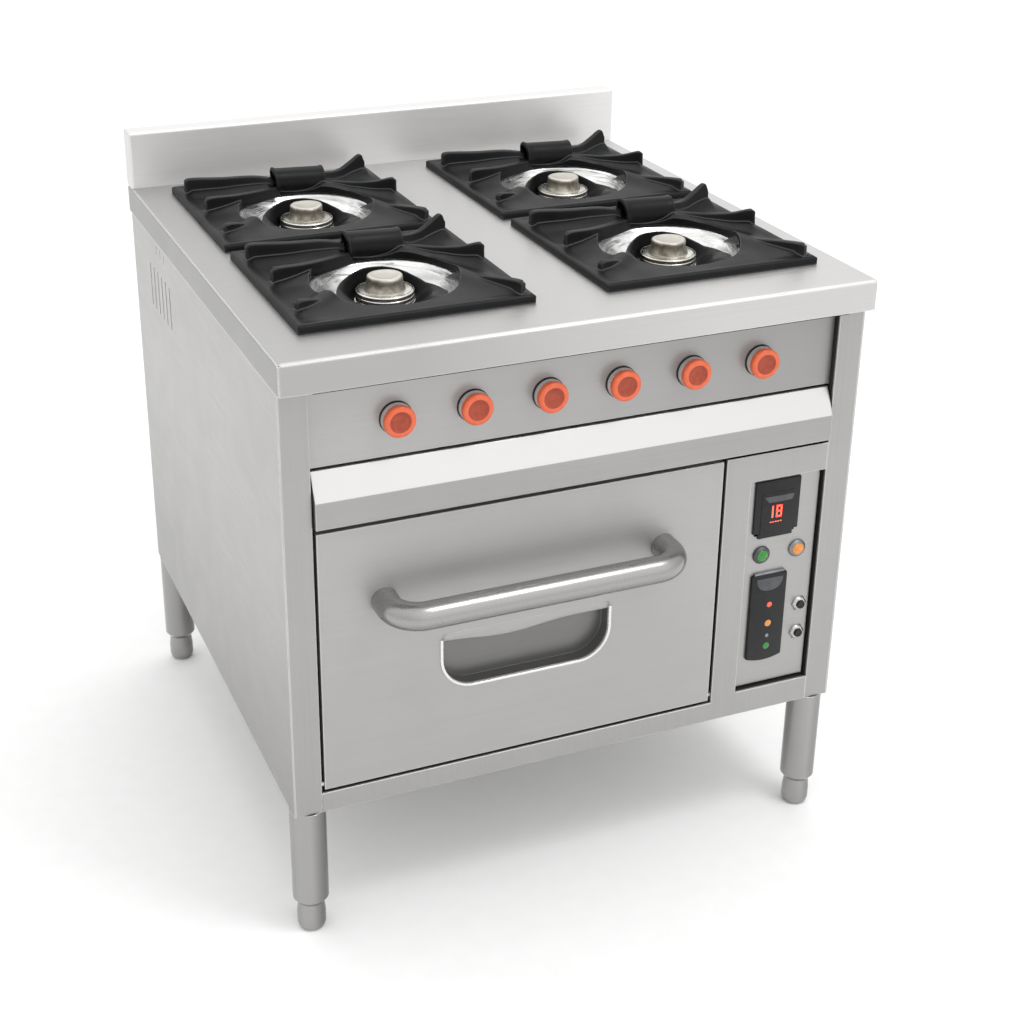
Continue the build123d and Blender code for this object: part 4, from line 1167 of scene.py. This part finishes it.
def add_weld(steel):
    """Beaded weld between the left post and the sill."""
    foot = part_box("front_frame")[0]
    beads = [
        (DOOR_EDGE - (0.9 if step % 3 == 1 else 0.0) * MM, foot.y + 0.4 * MM,
         foot.z + (1 + 4.5 * step) * MM)
        for step in range(7)
    ]
    tube_piece("sill_weld", beads, 0.9 * MM, steel, "cabinet")


# ---- put it together
LOOKS = bpy.data.materials
FINISHES = {
    "stainless_across": "niche_panel rear_panel base_panel",
    "stainless_door": "door_skin",
    "stainless_tray": "drip_tray",
    "stainless_panel": "control_panel",
    "stainless_splash": "backsplash",
    "stainless_frame": "corner_posts front_frame",
    "stainless_sideways": "left_side_panel right_side_panel",
    "stainless_top": "worktop",
    "stainless_pocket": "door_pocket",
    "stainless_satin": "door_handle",
    "stainless_leg": "leg_tubes " + " ".join("foot_" + place for place in PLACES),
    "zinc": "inner_rails door_liner",
    "oven_enamel_skin": "oven_liner oven_floor",
    "wire": "oven_rack rack_guides door_hinge_pins",
    "wool": "oven_insulation door_insulation door_gasket",
    "pipe": "gas_manifold gas_tubes oven_burner",
    "brass": "gas_valves gas_inlet hinge_bushes",
    "bright_rings": "burner_bodies",
    "module_black": "cable_gland",
}


def make_sheets():
    """Stainless finishes, one for each way that a sheet is brushed and lit."""
    across = GRAIN_ACROSS
    brushed("stainless_across", 0.40, across, edge_radius=0.003)
    brushed("stainless_door", 0.415, across, 0.42, 0.003, metal=0.68)
    brushed("stainless_brow", 0.415, across, 0.42, 0.0003, metal=0.68)
    # Painted light: the tray's upward faces are lighter.
    brushed("stainless_tray", 0.37, across, 0.36, 0.003, facing_shade=("Z", 1, 1.68, 0.15, 0.45))
    # Painted shade: the control panel darkens towards the right.
    brushed("stainless_panel", 0.42, across, fade=("X", -0.35, 0.40, 0.72))
    # Painted light: the backsplash is the same steel at a lighter level, for the light it gets.
    brushed("stainless_splash", 0.72, across, metal=0.5)
    # Painted shade: faces of the posts and frame inside the gaps turn near-black.
    brushed("stainless_frame", 0.385, GRAIN_UP, edge_radius=0.003, inner=-0.3955)
    # Painted shade: the side panels darken towards the bottom.
    brushed("stainless_sideways", 0.45, GRAIN_SIDE, fade=("Z", 0.62, 0.22, 0.74))
    # Painted shade: the worktop darkens towards the left, and its faces turned to the left are darker.
    brushed(
        "stainless_top", 0.58, across, 0.40, 0.003, fade=("X", 0.20, -0.26, 0.64),
        facing_shade=("X", -1, 0.60, 0.4, 0.9),
    )
    # Painted shade: the finger pocket's recess gets a darker level.
    brushed("stainless_pocket", 0.20, across, 0.34, 0.0008)
    # Painted shade: the handle is darker on its underside.
    brushed(
        "stainless_satin", 0.36, across, 0.23, 0.0010, metal=0.97,
        facing_shade=("Z", -1, 0.62, 0.1, 0.8), scratch=0.02,
    )
    # Painted shade: the legs are darker on faces turned to the right.
    brushed(
        "stainless_leg", 0.38, GRAIN_UP, 0.20, 0.0012, metal=0.95,
        facing_shade=("X", 1, 0.45, -0.1, 0.75), scratch=0.03,
    )
    brushed("stainless_lip", 0.80, across, 0.22, 0.0006)
    # Painted light: the knob skirts get a lighter level.
    brushed("stainless_skirt", 0.74, across, 0.28, 0.0008)


def make_plastics():
    """Knob, module and lens finishes."""
    orange, red_dark = (0.72, 0.130, 0.046), (0.27, 0.034, 0.012)
    plastic("knob_orange", (0.64, 0.100, 0.032), orange, 0.40, 120.0, Coat_Weight=0.15)
    plastic("knob_dish", red_dark, (0.37, 0.055, 0.020), 0.48, 160.0)
    black = (0.006, 0.006, 0.007)
    plastic("module_black", black, (0.011, 0.011, 0.013), 0.34, Specular_IOR_Level=0.32)
    # Near-black for the strips of painted shadow.
    plastic("painted_shadow_dark", (0.004, 0.004, 0.004), (0.007, 0.007, 0.007), 0.8)
    plastic("module_pad", (0.045, 0.048, 0.055), (0.070, 0.074, 0.082), 0.40)
    plastic("collar_dark", (0.020, 0.006, 0.005), (0.035, 0.012, 0.010), 0.5)
    lens("lens_green", (0.0, 0.11, 0.004), (0.005, 0.21, 0.012), 0.18)
    lens("lens_amber", (0.44, 0.13, 0.010), (0.66, 0.25, 0.035), 0.22)
    lens("lens_red", (0.55, 0.06, 0.02), (0.75, 0.12, 0.04), 0.3)
    lens("digit_red", (1.0, 0.05, 0.03), (1.0, 0.10, 0.05), 1.5)


def make_metals():
    """Castings, the bowls' polish and the metals that aren't brushed sheet."""
    cast_iron()
    cast_burner()
    bright_rings()
    polished_bowl()
    plain_metal("groove_dark", (0.10, 0.09, 0.08), (0.05, 0.045, 0.04), 0.6)
    plain_metal("nut_steel", (0.62, 0.61, 0.59), (0.42, 0.41, 0.40), 0.30)
    plain_metal("bezel_dark", (0.16, 0.16, 0.17), (0.09, 0.09, 0.10), 0.35)
    plain_metal("bezel_pale", (0.30, 0.31, 0.32), (0.21, 0.22, 0.23), 0.35)
    plain_metal("zinc", (0.62, 0.63, 0.65), (0.46, 0.47, 0.49), 0.38, 24.0)
    plain_metal("pipe", (0.30, 0.30, 0.31), (0.20, 0.20, 0.21), 0.45)
    plain_metal("brass", (0.74, 0.56, 0.25), (0.58, 0.42, 0.18), 0.30)
    plain_metal("wire", (0.72, 0.72, 0.73), (0.58, 0.58, 0.59), 0.22)


def paint_frame():
    """Gives each CAD node that stays visible its finished material."""
    for name, nodes in FINISHES.items():
        for node in nodes.split():
            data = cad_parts[node].data
            if not data.materials:
                data.materials.append(LOOKS[name])
            for index in range(len(data.materials)):
                data.materials[index] = LOOKS[name]


def add_pieces():
    """Every piece that is finer here than in the CAD."""
    black, pad, pale = LOOKS["module_black"], LOOKS["module_pad"], LOOKS["bezel_pale"]
    green, amber, red = LOOKS["lens_green"], LOOKS["lens_amber"], LOOKS["lens_red"]
    add_grates(LOOKS["cast_iron_skin"])
    add_bowls(LOOKS["polished_bowl_skin"])
    add_caps(LOOKS["cast_burner_skin"])
    add_ring_stacks(LOOKS["bright_rings"], LOOKS["groove_dark"])
    cap = (LOOKS["knob_orange"], LOOKS["knob_dish"])
    add_knobs(cap, LOOKS["stainless_skirt"], LOOKS["collar_dark"])
    add_controller(black, pad, LOOKS["digit_red"])
    add_lamp("green_lamp", LOOKS["bezel_dark"], green, "green_lens")
    add_lamp("amber_lamp", pale, amber, "amber_lens")
    add_timer(black, pad, (red, amber, green), pale)
    add_buttons(black, LOOKS["nut_steel"])
    add_pocket_details(LOOKS["stainless_brow"], LOOKS["stainless_lip"])
    add_weld(LOOKS["stainless_leg"])
    add_shadow_strips(LOOKS["painted_shadow_dark"])


add_camera()
add_floor()
add_sky()
add_lamps()
make_sheets()
make_plastics()
make_metals()
woven("wool", (0.62, 0.56, 0.40), (0.44, 0.38, 0.26))
enamel()
paint_frame()
add_pieces()
